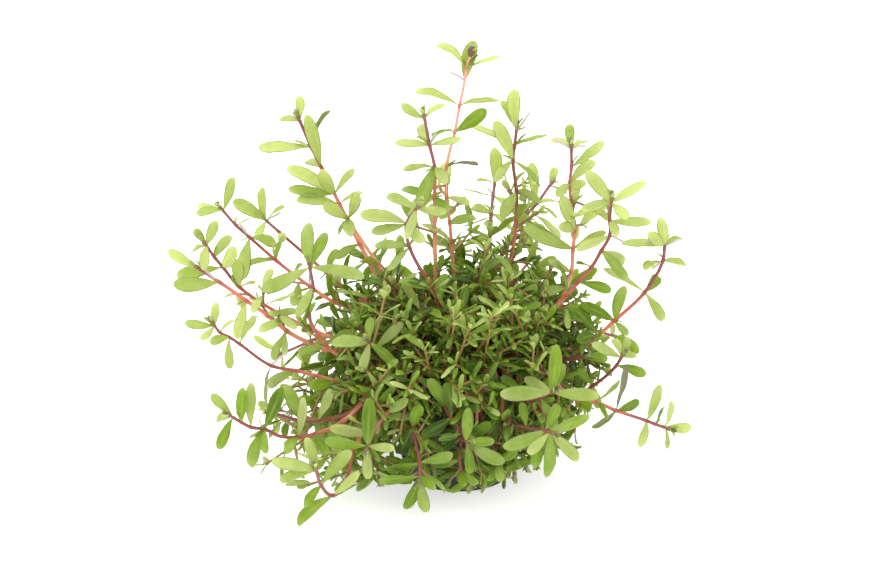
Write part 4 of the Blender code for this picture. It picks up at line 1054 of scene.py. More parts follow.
def hanging_stem(skirt, number, dice):
    """A try at a thin stem over the pot's rim."""
    low, high = skirt.turn
    turn = math.radians(low + (high - low) * (number * GOLDEN_ANGLE / math.tau % 1))
    out = level(turn)
    foot = foot_at(*(out * dice.uniform(*SKIRT_FOOT)).xy)
    turn += dice.uniform(-SKIRT_SWERVE, SKIRT_SWERVE)
    away = level(turn)
    tip = away * dice.uniform(*skirt.reach) + UP * dice.uniform(*skirt.height)
    onward = (away * dice.uniform(*SKIRT_SLANT) - UP).normalized()
    stations = [Station(foot)] + inner_route(foot, dice.uniform(*SKIRT_RISE), tip, onward)
    return stations + [Station(tip, paired=True)]


def skirt_shoots(skirt, thicket, shown, dice, first):
    """Thin shoots that hang over the pot's rim, where there is room for their stems."""
    made = []
    for number in range(skirt.tries):
        stations = hanging_stem(skirt, number, dice)
        if (crowd_at(stations[-1].point) < SKIRT_CROWD
                or any(is_at_pot(station.point, SKIRT_OFF_POT) for station in stations[3:])):
            continue
        set_directions(stations)
        stations = with_more_pairs(stations)
        stretches = stem_stretches(stations, SKIRT_RADIUS, ("skirt",))
        if (sum(thicket.hits(solid) for solid in stretches) > SKIRT_HITS
                or shown.is_covered_by([station.point for station in stations])):
            continue
        name = f"skirt_{first + len(made):02d}"
        mark = len(thicket.log)
        thicket.add_stem(stations, SKIRT_RADIUS, (name,))
        turn = dice.uniform(0, math.tau)
        for place, station in enumerate(stations):
            if station.paired:
                for half in (0, math.pi):
                    size = dice.uniform(*SKIRT_LEAF)
                    for blade in skirt_blades(station, turn + half, size, dice):
                        if thicket.takes(blade, (name, place), shown):
                            station.grown.append(blade)
                            break
                turn += math.pi / 2
        if sum(len(station.grown) for station in stations) < SKIRT_LEAST:
            thicket.forget(mark)
            continue
        made.append((name, stations))
        if len(made) == skirt.shoots:
            break
    return made


def skirt_blades(station, turn, size, dice):
    """The ways to grow one leaf of a hanging shoot."""
    outward = outward_at(station.point)
    for nudge in SKIRT_NUDGES:
        ahead = leaning(station, turn + nudge, dice.uniform(*SKIRT_SPREAD))
        tip = station.point + ahead * size
        yield Blade(station.point, tip, outward + UP * SKIRT_FACE_UP, size * SPROUT_LEAF_SLIM)


def sprouts_of(name, stations, thicket, shown, dice):
    """Short leafy side shoots of a stem in the dense middle, as lists of stations."""
    for number, (a, b) in enumerate(zip(stations, stations[1:])):
        step = (b.point - a.point).length / 3
        count = max(1, round(3 * step / SPROUT_SPACING))
        for part in range(count):
            share = (part + dice.random()) / count
            foot = between(a, b, share)
            if dice.random() > growth_at(foot):
                continue
            ahead = a.ahead.lerp(b.ahead, share).normalized()
            owner = (name, f"{number}.{part}")
            for _ in range(SPROUT_TRIES):
                made = one_sprout(foot, ahead, owner, thicket, shown, dice)
                if made:
                    yield made
                    break


def sprout_stem(foot, ahead, dice):
    """A try at a side shoot's stem from this foot, and how small its leaves are, or None."""
    outward = outward_at(foot)
    chance = Vector([dice.gauss(0, 1) for _ in range(3)]).normalized()
    high = smooth_share(foot.z, *SPROUT_HEIGHTS)
    along, out, by_chance, up = SPROUT_WAY
    way = ahead * along + outward * out * high + chance * by_chance + UP * up * high
    way.normalize()
    length = dice.uniform(*SPROUT_LENGTH) * (1 - SPROUT_SHORTER * looseness_at(foot))
    tip = foot + way * length
    if (dice.random() > TIP_GROWTH * growth_at(tip) or crowd_at(tip) < LEAST_CROWD
            or is_at_pot(tip, TIP_OFF_POT) or tip.z < LOWEST_TIP):
        return None
    outer = smooth_share((foot - CLUMP_HEART).length, *HEART_FROM_TO)
    scale = HEART_SIZE + (1 - HEART_SIZE) * outer
    count = max(1, round(length / (SPROUT_NODE_SPACING * scale)))
    bend = UP * dice.uniform(*SPROUT_BEND) * length
    made = [Station(foot + way * length * k / count + bend * (k / count) ** 2)
            for k in range(count + 1)]
    set_directions(made)
    made[0].ahead = (made[1].point - foot).normalized()
    return made, scale + LOOSE_GROWTH * looseness_at(foot)


def one_sprout(foot, ahead, owner, thicket, shown, dice):
    """A side shoot that leaves the stem here, or None where too few of its leaves find room."""
    tried = sprout_stem(foot, ahead, dice)
    if not tried:
        return None
    made, scale = tried
    least = len(made) - 1
    turn = dice.uniform(0, math.tau)
    mark = len(thicket.log)
    for k, station in enumerate(made[1:]):
        for half in (0, math.pi):
            around = turn + half + k * math.pi / 2
            size = dice.uniform(*SPROUT_LEAF) * scale
            for spread in [dice.uniform(*spreads) for spreads in SPROUT_SPREADS]:
                tip = station.point + leaning(station, around, spread) * size
                face = station.ahead * SPROUT_FACE[0] + UP * SPROUT_FACE[1]
                blade = Blade(station.point, tip, face, size * SPROUT_LEAF_SLIM)
                if thicket.takes(blade, owner, shown):
                    station.grown.append(blade)
                    break
        if not station.grown:
            del made[k + 1:]
            break
    if sum(len(station.grown) for station in made) < least:
        thicket.forget(mark)
        return None
    thicket.add_stem(made, SPROUT_RADIUS, owner)
    return made


def small_pair(station, turn, length, width, spread, forward):
    """Two opposite leaves at this turn around the stem, that stand this far off it."""
    for half in (0, math.pi):
        out = Matrix.Rotation(turn + half, 3, station.ahead) @ station.across
        base = station.point + station.ahead * forward
        face = station.ahead * math.sin(spread) - out * math.cos(spread)
        yield Blade(base, base + leaning(station, turn + half, spread) * length, face, width)


def bud_leaf(stations):
    """The leaf that stands upright behind the crown's bud."""
    number, across, up, start, end, width = BUD_LEAF
    station = next(station for station in stations
                   if any(leaf.point == number for leaf in station.leaves))
    base = station.point + VIEW_AHEAD * start
    tip = seen_at(across, up, station.point.y) + VIEW_AHEAD * end
    return Blade(base, tip, -VIEW_AHEAD, width)


def axil_blade(station, blade, dice):
    """A small leaf between a grown one and the stem."""
    lift = station.ahead * dice.uniform(*AXIL_LIFT) + blade.ahead
    length = dice.uniform(*AXIL_LENGTH)
    tip = station.point + lift.normalized() * length
    return Blade(station.point, tip, -blade.ahead + station.ahead, length * AXIL_SLIM)


def leaves_of(name, stations, dice):
    """Every leaf of a shoot, dressed: the solids' own leaves first, then the small ones."""
    found = []
    last = stations[-1]
    for station in stations:
        # Painted shade and light: leaves deep in the clump and low down get a darker colour, those
        # far out and high up a paler one.
        light = painted_light_at(station.point)
        near_tip = math.exp(-(station.point - last.point).length / TIP_FADE)
        if not name:
            near_tip *= SHADED_TIP + (1 - SHADED_TIP) * light
        tint = (PAINTED_LIGHT_TINT * light + PAINTED_HEIGHT_TINT * smooth_share(station.point.z, *HEIGHTS)
                + TIP_TINT * near_tip)
        for k, blade in enumerate(station.grown):
            blade.width *= min(blade.length / LEAF_LENGTH, MOST_SHARE) ** SLIM_POWER
            flush = flush_of(name, station, k)
            found.append(dress(blade, dice, tint * (1 - flush), flush))
        for blade in station.grown:
            if dice.random() < AXIL_SHARE and station is not last:
                found.append(dress(axil_blade(station, blade, dice), dice, tint * AXIL_TINT))
    turn = dice.uniform(0, math.pi)
    young_tint = YOUNG_TINT if name else tint + SPROUT_YOUNG_TINT
    young_pairs = YOUNG_PAIRS if name else SPROUT_YOUNG_PAIRS
    for pair, (length, width, spread, flush) in enumerate(young_pairs):
        length *= dice.uniform(*YOUNG_LENGTHS)
        for blade in small_pair(last, turn + pair * math.pi / 2, length, width,
                                math.radians(spread), YOUNG_START + YOUNG_APART * pair):
            found.append(dress(blade, dice, young_tint, flush, young=True))
    for leaf in FADED.get(name, ()):
        station = next(station for station in stations
                       if station.leaves and station.leaves[0].point == leaf.point)
        blade = dress(faded_blade(station, leaf), dice, 1.0, 1.0)
        blade.tint = 1.0
        found.append(blade)
    # The crown's upright bud leaf takes the palest tint: painted light for the light that comes
    # through it from behind.
    if name == "crown":
        found.append(dress(bud_leaf(stations), dice, 1.0))
    return found


def stem_line(stations, foot_radius, tip_radius, rooted_by, bud):
    """The stem as (point, radius, distance to the tip, closeness to a node), from foot to bud."""
    first, last = stations[0], stations[-1]
    line = [(first.point - first.ahead * rooted_by, 0.0)]
    knots = []
    walked = 0.0
    for a, b in zip(stations, stations[1:]):
        step = (b.point - a.point).length / 3
        count = max(2, round(3 * step / STEM_STEP))
        for number in range(count):
            point = between(a, b, number / count)
            walked += (point - line[-1][0]).length
            line.append((point, walked))
        if b.grown:
            knots.append(walked + 3 * step / count)
    length = walked + (last.point - line[-1][0]).length
    line.append((last.point, length))
    samples = []
    for point, at in line:
        knot = max((math.exp(-((at - knot) / KNOT_LENGTH) ** 2) for knot in knots), default=0.0)
        radius = foot_radius + (tip_radius - foot_radius) * (at / length)
        samples.append((point, radius * (1 + KNOT_SWELL * knot), length - at, knot))
    for rise, radius in BUD:
        samples.append((last.point + last.ahead * rise * bud, radius * bud, -rise * bud, 0.0))
    return samples


def worker(operation, swapped=False):
    """A method of a wire that adds a node of this operation."""
    def work(wire, *others):
        return wire.worked(operation, *((*others, wire) if swapped else (wire, *others)))
    return work


class Wire:
    """A socket that Python's operators work on, each adding a Math or a Vector Math node."""

    def __init__(self, tree, socket):
        self.tree = tree
        self.socket = socket

    def is_vector(self):
        return self.socket.type == "VECTOR"

    def worked(self, operation, *parts):
        vector = any(isinstance(part, Wire) and part.is_vector() for part in parts)
        kind = "ShaderNodeVectorMath" if vector else "ShaderNodeMath"
        return self.tree.add(kind, dict(enumerate(parts)), operation=operation)

    def __mul__(self, other):
        if self.is_vector():
            return self.tree.add("ShaderNodeVectorMath", {0: self, "Scale": other},
                                 operation="SCALE")
        return self.worked("MULTIPLY", self, other)

    __rmul__ = __mul__
    __add__ = worker("ADD")
    __radd__ = worker("ADD", swapped=True)
    __sub__ = worker("SUBTRACT")
    __rsub__ = worker("SUBTRACT", swapped=True)
    __truediv__ = worker("DIVIDE")
    __rtruediv__ = worker("DIVIDE", swapped=True)
    __pow__ = worker("POWER")
    __abs__ = worker("ABSOLUTE")
    sine = worker("SINE")
    cosine = worker("COSINE")
    sign = worker("SIGN")
    at_least = worker("MAXIMUM")
    at_most = worker("MINIMUM")

    def rise(self, low, high):
        """0 where this is under low, 1 where it is over high, and smooth between them."""
        return self.tree.add("ShaderNodeMapRange",
                             {"Value": self, "From Min": low, "From Max": high},
                             interpolation_type="SMOOTHSTEP")

    def fall(self, low, high):
        """1 where this is under low and 0 where it is over high."""
        return 1 - self.rise(low, high)

    def other(self, name):
        """Another output of the same node."""
        return Wire(self.tree, self.socket.node.outputs[name])


class Tree:
    """Builds the nodes of a material or of a geometry group."""

    def __init__(self, nodes, links):
        self.nodes = nodes
        self.links = links

    def add(self, kind, values=None, give=0, **settings):
        """Adds a node with these socket values and settings, and gives one of its outputs."""
        node = self.nodes.new(kind)
        for name, setting in settings.items():
            setattr(node, name, setting)
        for name, value in (values or {}).items():
            if isinstance(value, Wire):
                self.links.new(value.socket, node.inputs[name])
            else:
                node.inputs[name].default_value = value
        return Wire(self, node.outputs[give]) if len(node.outputs) else node

    def apart(self, vector):
        """The three parts of a vector."""
        x = self.add("ShaderNodeSeparateXYZ", {0: vector})
        return x, x.other("Y"), x.other("Z")

    def vector(self, **parts):
        """A vector from its parts, X, Y and Z."""
        return self.add("ShaderNodeCombineXYZ", parts)

    def mix(self, share, first, second):
        """A colour between two colours."""
        values = {0: share}
        for slot, color in ((6, first), (7, second)):
            values[slot] = color if isinstance(color, Wire) else (*color, 1)
        return self.add("ShaderNodeMix", values, give=2, data_type="RGBA")

    def ramp(self, share, *stops):
        """A colour between a row of colours, each at its place from 0 to 1."""
        color = self.add("ShaderNodeValToRGB", {"Fac": share})
        elements = color.socket.node.color_ramp.elements
        while len(elements) < len(stops):
            elements.new(0.5)
        for element, (place, stop) in zip(elements, stops):
            element.position = place
            element.color = (*stop, 1)
        return color

    def marked(self, name):
        """A number that the mesh carries at each point."""
        return self.add("ShaderNodeAttribute", give="Fac", attribute_name=name)

    def noise(self, scale, detail=2.0, stretch=None):
        """A smooth random number that changes over the piece, in its own place."""
        place = self.add("ShaderNodeTexCoord", give="Object")
        if stretch:
            place = self.add("ShaderNodeMapping", {"Vector": place, "Scale": stretch})
        return self.add("ShaderNodeTexNoise", {"Vector": place, "Scale": scale, "Detail": detail})

    def coat(self, color, roughness, specular=0.5, relief=None):
        """A surface of this colour, with a relief of (height, strength, depth in metres)."""
        values = {"Base Color": color, "Roughness": roughness, "Specular IOR Level": specular}
        if relief:
            height, strength, depth = relief
            values["Normal"] = self.add("ShaderNodeBump", {
                "Height": height, "Strength": strength, "Distance": depth})
        return self.add("ShaderNodeBsdfPrincipled", values)

    def lit_through(self, share, surface, color):
        """A surface that lets this share of the light through, in this colour."""
        through = self.add("ShaderNodeBsdfTranslucent", {"Color": (*color, 1)})
        return self.add("ShaderNodeMixShader", {0: share, 1: surface, 2: through})

    def show(self, surface):
        """Makes this the surface of the material."""
        self.add("ShaderNodeOutputMaterial", {"Surface": surface})


def new_material(name):
    """An empty material with the tree that builds its nodes."""
    material = bpy.data.materials.new(name)
    material.use_nodes = True
    material.node_tree.nodes.clear()
    return material, Tree(material.node_tree.nodes, material.node_tree.links)


def leaf_material(look):
    """A leaf: deep to light green by its tint, which holds painted shade and light, a pale midrib,
    and light that comes through the blade.
    """
    material, tree = new_material("rotala_leaf")
    along, tint, flush = tree.marked("s"), tree.marked("tint"), tree.marked("flush")
    side = abs(tree.marked("v"))
    patch = tree.noise(90.0, 3.0)
    mottle = tree.noise(330.0)
    grain = tree.noise(900.0)
    pale_end = along.rise(0.7, 1.0) * 0.12
    light = tint + (patch - 0.5) * 0.45 + (mottle - 0.5) * 0.32 + (grain - 0.5) * 0.12 + pale_end
    green = tree.ramp(light, (0.0, look.deep_color), (0.42, look.mid_color),
                      (0.8, look.light_color), (1.0, look.pale_color))
    rib = side.fall(0.0, 0.3) * along.fall(0.5, 1.0)
    green = tree.mix(rib * 0.35, green, look.rib_color)
    green = tree.mix(side.rise(0.72, 1.0) * 0.5, green, look.margin_color)
    green = tree.mix(along.fall(0.0, 0.22) * 0.45, green, look.rib_color)
    turned = tree.mix(tint.rise(0.8, 1.0), look.flush_color, look.faded_color)
    color = tree.mix((flush + (patch - 0.5) * 0.3 * flush).at_most(1.0), green, turned)
    veins = ((along * 9 - side * 1.6) * math.tau).sine() * side.fall(0.1, 1.0) * 0.25 + grain * 0.9
    blade = tree.coat(color, 0.42 + (patch - 0.5) * 0.25, 0.22, (veins, 0.35, 0.0001))
    share = (0.22 + 0.3 * tint) * flush.fall(0.2, 1.4)
    tree.show(tree.lit_through(share, blade, look.glow_color))
    return material


def stem_material(look):
    """A stem: dark red under its tip, salmon pink below, orange-red at the foot, darker nodes."""
    material, tree = new_material("rotala_stem")
    reach, fresh = tree.marked("reach"), tree.marked("fresh")
    patch = tree.noise(160.0, 3.0)
    streak = tree.noise(700.0)
    place = reach / 0.12 + (patch - 0.5) * 0.12 + tree.marked("blush") * 0.1
    red = tree.ramp(place, (0.0, look.tip_color), (0.08, look.tip_color), (0.2, look.middle_color),
                    (0.42, look.low_color), (1.0, look.foot_color))
    red = tree.mix(fresh * 0.85, red, look.fresh_color)
    bud = reach.fall(-0.0006, 0.0002) * (1 - 0.6 * fresh)
    red = tree.mix(bud, red, tree.mix(tree.marked("dusk"), look.young_bud_color, look.bud_color))
    red = tree.mix(tree.marked("knot") * (0.65 - 0.5 * fresh), red, look.knot_color)
    red = tree.mix((streak - 0.4) * 0.35, red, look.knot_color)
    skin = tree.coat(red, 0.38 + (patch - 0.5) * 0.2, relief=(streak, 0.3, 0.0001))
    share = 0.35 * reach.rise(0.0, 0.02) * (1 - 0.7 * fresh)
    tree.show(tree.lit_through(share, skin, look.glow_color))
    return material


def plastic_material(look):
    """Black moulded plastic with a fine grain and dust-dulled patches."""
    material, tree = new_material("rotala_pot_plastic")
    patch = tree.noise(70.0, 4.0)
    color = tree.mix(patch.rise(0.55, 0.8) * 0.35, look.color, look.dust_color)
    tree.show(tree.coat(color, 0.4 + patch * 0.2, relief=(tree.noise(2600.0), 0.25, 0.00005)))
    return material


def wool_material(look):
    """Damp rock wool: matted brown fibres, paler where they stand up."""
    material, tree = new_material("rotala_rock_wool")
    mat = tree.noise(240.0, 4.0, (1.0, 1.0, 3.0))
    strand = tree.noise(1900.0, 3.0)
    color = tree.mix(mat.rise(0.35, 0.7), look.damp_color, look.dry_color)
    color = tree.mix(strand.rise(0.45, 0.75) * 0.5, color, look.strand_color)
    tree.show(tree.coat(color, 0.95, 0.2, (strand + mat, 0.9, 0.0004)))
    return material


class Geometry(Tree):
    """Builds a geometry group with named inputs."""

    def __init__(self, name, inputs):
        self.group = bpy.data.node_groups.new(name, "GeometryNodeTree")
        super().__init__(self.group.nodes, self.group.links)
        sockets = [("Geometry", "INPUT", "Geometry")]
        sockets += [(label, "INPUT", kind) for label, kind in inputs.items()]
        for label, way, kind in (*sockets, ("Geometry", "OUTPUT", "Geometry")):
            self.group.interface.new_socket(label, in_out=way, socket_type="NodeSocket" + kind)
        self.start = self.nodes.new("NodeGroupInput")

    def given(self, name):
        return Wire(self, self.start.outputs[name])

    def make(self, kind, give=0, **values):
        """Adds a geometry node with these inputs, their names written with underscores."""
        return self.add("GeometryNode" + kind, {
            name.replace("_", " "): value for name, value in values.items()}, give)

    def marked(self, name, kind="FLOAT"):
        return self.add("GeometryNodeInputNamedAttribute", {"Name": name}, data_type=kind)

    def store(self, geometry, name, value, kind="FLOAT"):
        return self.add("GeometryNodeStoreNamedAttribute",
                        {"Geometry": geometry, "Name": name, "Value": value},
                        data_type=kind, domain="POINT")

    def joined(self, first, second):
        """Two pieces as one."""
        both = self.make("JoinGeometry", Geometry=first)
        self.links.new(second.socket, both.socket.node.inputs[0])
        return both

    def finish(self, geometry):
        self.add("NodeGroupOutput", {0: geometry})
        return self.group


# How fine the mesh of a leaf and of a stem is.
LEAF_RINGS = 10
LEAF_SEGMENTS = 8
STEM_SIDES = 8


def shoot_tree():
    """A stem along the mesh's edges, and a leaf from each point that has a leaf's length."""
    tree = Geometry("rotala_shoot", {
        "Stem Material": "Material", "Leaf Material": "Material", "Stem Sides": "Int",
        "Leaf Rings": "Int", "Leaf Segments": "Int", "Leaf Thickness": "Float",
        "Rib Depth": "Float", "Stalk Width": "Float", "Margin Wave": "Float"})
    source = tree.given("Geometry")

    line = tree.make("MeshToCurve", Mesh=source)
    ring = tree.make("CurvePrimitiveCircle", Resolution=tree.given("Stem Sides"), Radius=1.0)
    stem = tree.make("CurveToMesh", Curve=line, Profile_Curve=ring, Scale=tree.marked("stout"),
                     Fill_Caps=True)
    stem = tree.make("SetMaterial", Geometry=stem, Material=tree.given("Stem Material"))

    blank = tree.make("MeshUVSphere", Segments=tree.given("Leaf Segments"),
                      Rings=tree.given("Leaf Rings"), Radius=1.0)
    x, y, z = tree.apart(tree.make("InputPosition"))
    around = ((x * x + y * y) ** 0.5).at_least(1e-5)
    for name, value in (("s", (z + 1) * 0.5), ("v", x / around), ("u", y / around)):
        blank = tree.store(blank, name, value)
    points = tree.store(source, "base", tree.make("InputPosition"), "FLOAT_VECTOR")
    leaves = tree.make("InstanceOnPoints", Points=points, Selection=tree.marked("length"),
                       Instance=blank)
    leaves = tree.make("RealizeInstances", Geometry=leaves)

    s, v, u = tree.marked("s"), tree.marked("v"), tree.marked("u")
    ahead, face = tree.marked("ahead", "FLOAT_VECTOR"), tree.marked("face", "FLOAT_VECTOR")
    side = tree.add("ShaderNodeVectorMath", {0: face, 1: ahead}, operation="CROSS_PRODUCT")
    length = tree.marked("length")
    hump = s * (1 - s) * 4
    outline = (s.at_least(1e-4) ** tree.marked("taper")) * ((1 - s).at_least(0.0) ** 0.5)
    stalk = tree.given("Stalk Width") * hump.at_most(0.25) * 4
    half = (outline * tree.marked("half")).at_least(stalk * 0.5)
    turn = tree.marked("twist") * (s - 0.3)
    side_here = side * turn.cosine() + face * turn.sine()
    face_here = face * turn.cosine() - side * turn.sine()
    curl = hump * (s - 0.5) * -1 * tree.marked("curl") * 0.35
    lift = length * (hump * tree.marked("arch") + curl)
    thick = tree.given("Leaf Thickness") * 0.5 * (hump ** 0.5 * 1.6).at_most(1.0)
    edge = abs(v)
    wave = ((s * 2.2 + tree.marked("phase")) * math.tau).sine() * tree.given("Margin Wave") * edge
    dip = (1 - edge) * (1 - edge) * tree.given("Rib Depth") * (half / 0.002).at_most(1.0)
    rise = u * thick + half * (edge ** 1.5 * tree.marked("fold") + wave) - dip
    middle = tree.marked("base", "FLOAT_VECTOR") + ahead * (length * s) + face * lift
    middle = middle + side * (length * hump * tree.marked("bow"))
    leaves = tree.make("SetPosition", Geometry=leaves,
                       Position=middle + side_here * (v * half) + face_here * rise)
    leaves = tree.make("SetMaterial", Geometry=leaves, Material=tree.given("Leaf Material"))
    return tree.finish(tree.make("SetShadeSmooth", Geometry=tree.joined(stem, leaves)))


def run_tree(ob, group, values):
    """Runs a geometry group on an object and keeps the result as its plain mesh."""
    modifier = ob.modifiers.new(group.name, "NODES")
    modifier.node_group = group
    for item in group.interface.items_tree:
        if item.in_out == "INPUT" and item.name in values:
            modifier[item.identifier] = values[item.name]
    graph = bpy.context.evaluated_depsgraph_get()
    mesh = bpy.data.meshes.new_from_object(ob.evaluated_get(graph), depsgraph=graph)
    ob.modifiers.remove(modifier)
    old = ob.data
    ob.data = mesh
    bpy.data.meshes.remove(old)
    mesh.name = ob.name


def new_piece(name, mesh):
    """A new object with this mesh, in the place of any older one of its name."""
    old = bpy.data.objects.get(name)
    if old:
        bpy.data.objects.remove(old, do_unlink=True)
    ob = bpy.data.objects.new(name, mesh)
    bpy.context.scene.collection.objects.link(ob)
    return ob


def stand_in_for(ob, node):
    """The piece takes the place of a solid, which it hides, and rides on the part's body."""
    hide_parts(node)
    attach(ob, "root")


# What the mesh of a shoot carries for its tree, at each leaf's point and at each point of a stem,
# and what of it is removed once the tree has run.
LEAF_NUMBERS = ("length", "half", "taper", "arch", "curl", "bow", "fold", "twist", "phase", "tint",
                "flush")
STEM_NUMBERS = ("stout", "reach", "knot", "blush", "dusk", "fresh")
LEFT_BEHIND = (*LEAF_NUMBERS[:9], "stout", "u", "base", "ahead", "face")


def full_width(taper):
    """What makes the outline s ** taper * (1 - s) ** 0.5 one at its widest."""
    widest = taper / (taper + 0.5)
    return 1 / (widest ** taper * (1 - widest) ** 0.5)


def shoot_source(name, blades, lines, blush, dusk):
    """The mesh that the shoot's tree reads: a point for each leaf, and the lines of its stems."""
    mesh = bpy.data.meshes.new(name)
    points = [blade.base for blade in blades]
    numbers = []
    for blade in blades:
        blade.half = blade.width / 2 * full_width(blade.taper) * MM
        values = [getattr(blade, key) for key in LEAF_NUMBERS]
        numbers.append([values[0] * MM, *values[1:]] + [0.0] * len(STEM_NUMBERS))
    edges = []
    for line in lines:
        fresh = float(line is not lines[0])
        edges += [(k, k + 1) for k in range(len(points), len(points) + len(line) - 1)]
        for point, radius, reach, knot in line:
            points.append(point)
            numbers.append([0.0] * len(LEAF_NUMBERS)
                           + [radius * MM, reach * MM, knot, blush, dusk, fresh])
    mesh.from_pydata([point * MM for point in points], edges, [])
    for key, row in zip(LEAF_NUMBERS + STEM_NUMBERS, zip(*numbers)):
        mesh.attributes.new(key, "FLOAT", "POINT").data.foreach_set("value", row)
    for key in ("ahead", "face"):
        row = [part for blade in blades for part in getattr(blade, key)]
        row += [0.0] * 3 * (len(points) - len(blades))
        mesh.attributes.new(key, "FLOAT_VECTOR", "POINT").data.foreach_set("vector", row)
    return mesh


def tone(name, description, default):
    """A colour that a user may change."""
    return FloatVectorProperty(name=name, description=description, default=default, subtype="COLOR")


def measure(name, description, default):
    """A length that a user may change."""
    return FloatProperty(name=name, description=description, default=default, unit="LENGTH")


class LeafSettings(PropertyGroup):
    """Sizes and colours of the leaves."""
    thickness: measure("Thickness", "How thick a leaf is at its middle", 0.32 * MM)
    rib_depth: measure("Rib depth", "How far the midrib lies in the blade", 0.13 * MM)
    stalk_width: measure("Stalk width", "How wide a leaf is where it leaves the stem", 0.75 * MM)
    margin_wave: FloatProperty(
        name="Margin wave", description="How far the margins swing, as a share of the half width",
        default=0.09)
    deep_color: tone("Deep green", "Leaves in the shade of the others", (0.038, 0.105, 0.004))
    mid_color: tone("Mid green", "Grown leaves in half shade", (0.21, 0.36, 0.022))
    light_color: tone("Light green", "Young leaves and those in full light", (0.53, 0.60, 0.24))
    pale_color: tone("Pale green", "The lightest leaves, near the tips", (0.70, 0.76, 0.34))
    rib_color: tone("Midrib", "Midrib and leaf base", (0.52, 0.55, 0.16))
    margin_color: tone("Margin", "Leaf margin", (0.34, 0.40, 0.19))
    flush_color: tone("Flush", "Leaves that turn brown", (0.17, 0.13, 0.08))
    faded_color: tone("Faded", "Thin leaves that have lost their green", (0.60, 0.52, 0.50))
    glow_color: tone("Glow", "Light that comes through a leaf", (0.70, 0.79, 0.20))


class StemSettings(PropertyGroup):
    """Colours of the stems, from the bud down."""
    bud_color: tone("Bud", "The dark bud at the crown's tip", (0.115, 0.06, 0.03))
    young_bud_color: tone("Young bud", "The buds of the other shoots", (0.22, 0.17, 0.06))
    tip_color: tone("Tip", "Stem right under the tip", (0.24, 0.075, 0.07))
    middle_color: tone("Middle", "Young stem below the tip", (0.74, 0.25, 0.17))
    low_color: tone("Low", "Older stem", (0.98, 0.56, 0.37))
    foot_color: tone("Foot", "Oldest stem, near the rock wool", (0.62, 0.21, 0.07))
    knot_color: tone("Node", "Darker ring where leaves grow", (0.30, 0.05, 0.035))
    fresh_color: tone("Side shoot", "Young side shoots", (0.30, 0.21, 0.055))
    glow_color: tone("Glow", "Light that comes through a stem", (1.0, 0.48, 0.30))


class PotSettings(PropertyGroup):
    """Finish of the pot."""
    color: tone("Plastic", "Black plastic of the pot", (0.012, 0.012, 0.013))
    dust_color: tone("Dust", "Where dust has dulled the plastic", (0.05, 0.048, 0.042))
    edge_radius: measure("Edge radius", "How round the pot's edges are", 0.4 * MM)


class WoolSettings(PropertyGroup):
    """Finish of the rock wool."""
    damp_color: tone("Damp", "Damp wool", (0.11, 0.085, 0.045))
    dry_color: tone("Dry", "Drier wool", (0.26, 0.21, 0.12))
    strand_color: tone("Strand", "Single fibres", (0.42, 0.36, 0.24))
    fibres: IntProperty(name="Fibres", description="Loose fibres on top of the wool", default=900)
    fibre_length: measure("Fibre length", "Length of a loose fibre", 4.0 * MM)


class StageSettings(PropertyGroup):
    """Floor, light and camera."""
    floor_size: measure("Floor", "Length of the floor's sides", 12.0)
    floor_color: tone("Floor colour", "Colour of the floor", (0.92, 0.92, 0.92))
    floor_glow: FloatProperty(name="Floor glow", default=0.59,
                              description="Light that comes up through the floor")
    sky: FloatProperty(name="Room light", default=0.96,
                       description="Strength of the light from all sides")
    key_power: FloatProperty(name="Key light", default=8.0,
                             description="Power of the light from above, in watts")
    fill_power: FloatProperty(name="Fill light", default=2.0,
                              description="Power of the light from the front, in watts")
    lens: FloatProperty(name="Lens", default=136.4, description="Focal length in millimetres")


# How many sides the turned pieces and the ends of the slots have, how many steps a rounded edge
# has, how often its cut goes into a side at least, and from how many degrees on it stays sharp.
POT_STEPS = 96
SLOT_SIDES = 24
EDGE_STEPS = 4
EDGE_ROOM = 2.2
SHARP_FROM = 35.0

# The wool: the heights of its side's rings, the size of its top's rings, its lumps as (how fine,
# how high), how much they are lowered and from what share of its height on they show, and its
# fibres' radius and seed.
WOOL_SIDES = (10, 19, 28)
WOOL_TOPS = (0.97, 0.8, 0.6, 0.4, 0.2, 0)
WOOL_EDGE = 0.8
WOOL_LUMPS = ((350, 0.35), (1100, 0.15))
WOOL_LUMPS_DOWN = 0.3
WOOL_LUMPS_FROM = 0.9
FIBRE_RADIUS = 0.06
FIBRE_SEED = 4

# The lamps' sizes and places in metres, and the place that they shine at.
KEY_SIZE = 0.9
KEY_PLACE = (-0.15, 0.15, 1.0)
FILL_SIZE = 0.7
FILL_PLACE = (0.2, -0.9, 0.8)
LIT_PLACE = (0, 0, 0.04)

# The floor's faint spots: how fine, how strong, and their colour.
SPOT_FINE = 3.0
SPOT_SHARE = 0.02
SPOT_COLOR = (0.8, 0.8, 0.8)


def fillet(profile, radius):
    """The profile with its inner corners rounded."""
    profile = [Vector(corner) for corner in profile]
    made = profile[:1]
    for before, corner, after in zip(profile, profile[1:], profile[2:]):
        cut = min(radius, *((end - corner).length / EDGE_ROOM for end in (before, after)))
        start = corner + (before - corner).normalized() * cut
        end = corner + (after - corner).normalized() * cut
        for share in (step / EDGE_STEPS for step in range(EDGE_STEPS + 1)):
            bend = corner * 2 * share * (1 - share)
            made.append(start * (1 - share) ** 2 + bend + end * share ** 2)
    return made + profile[-1:]


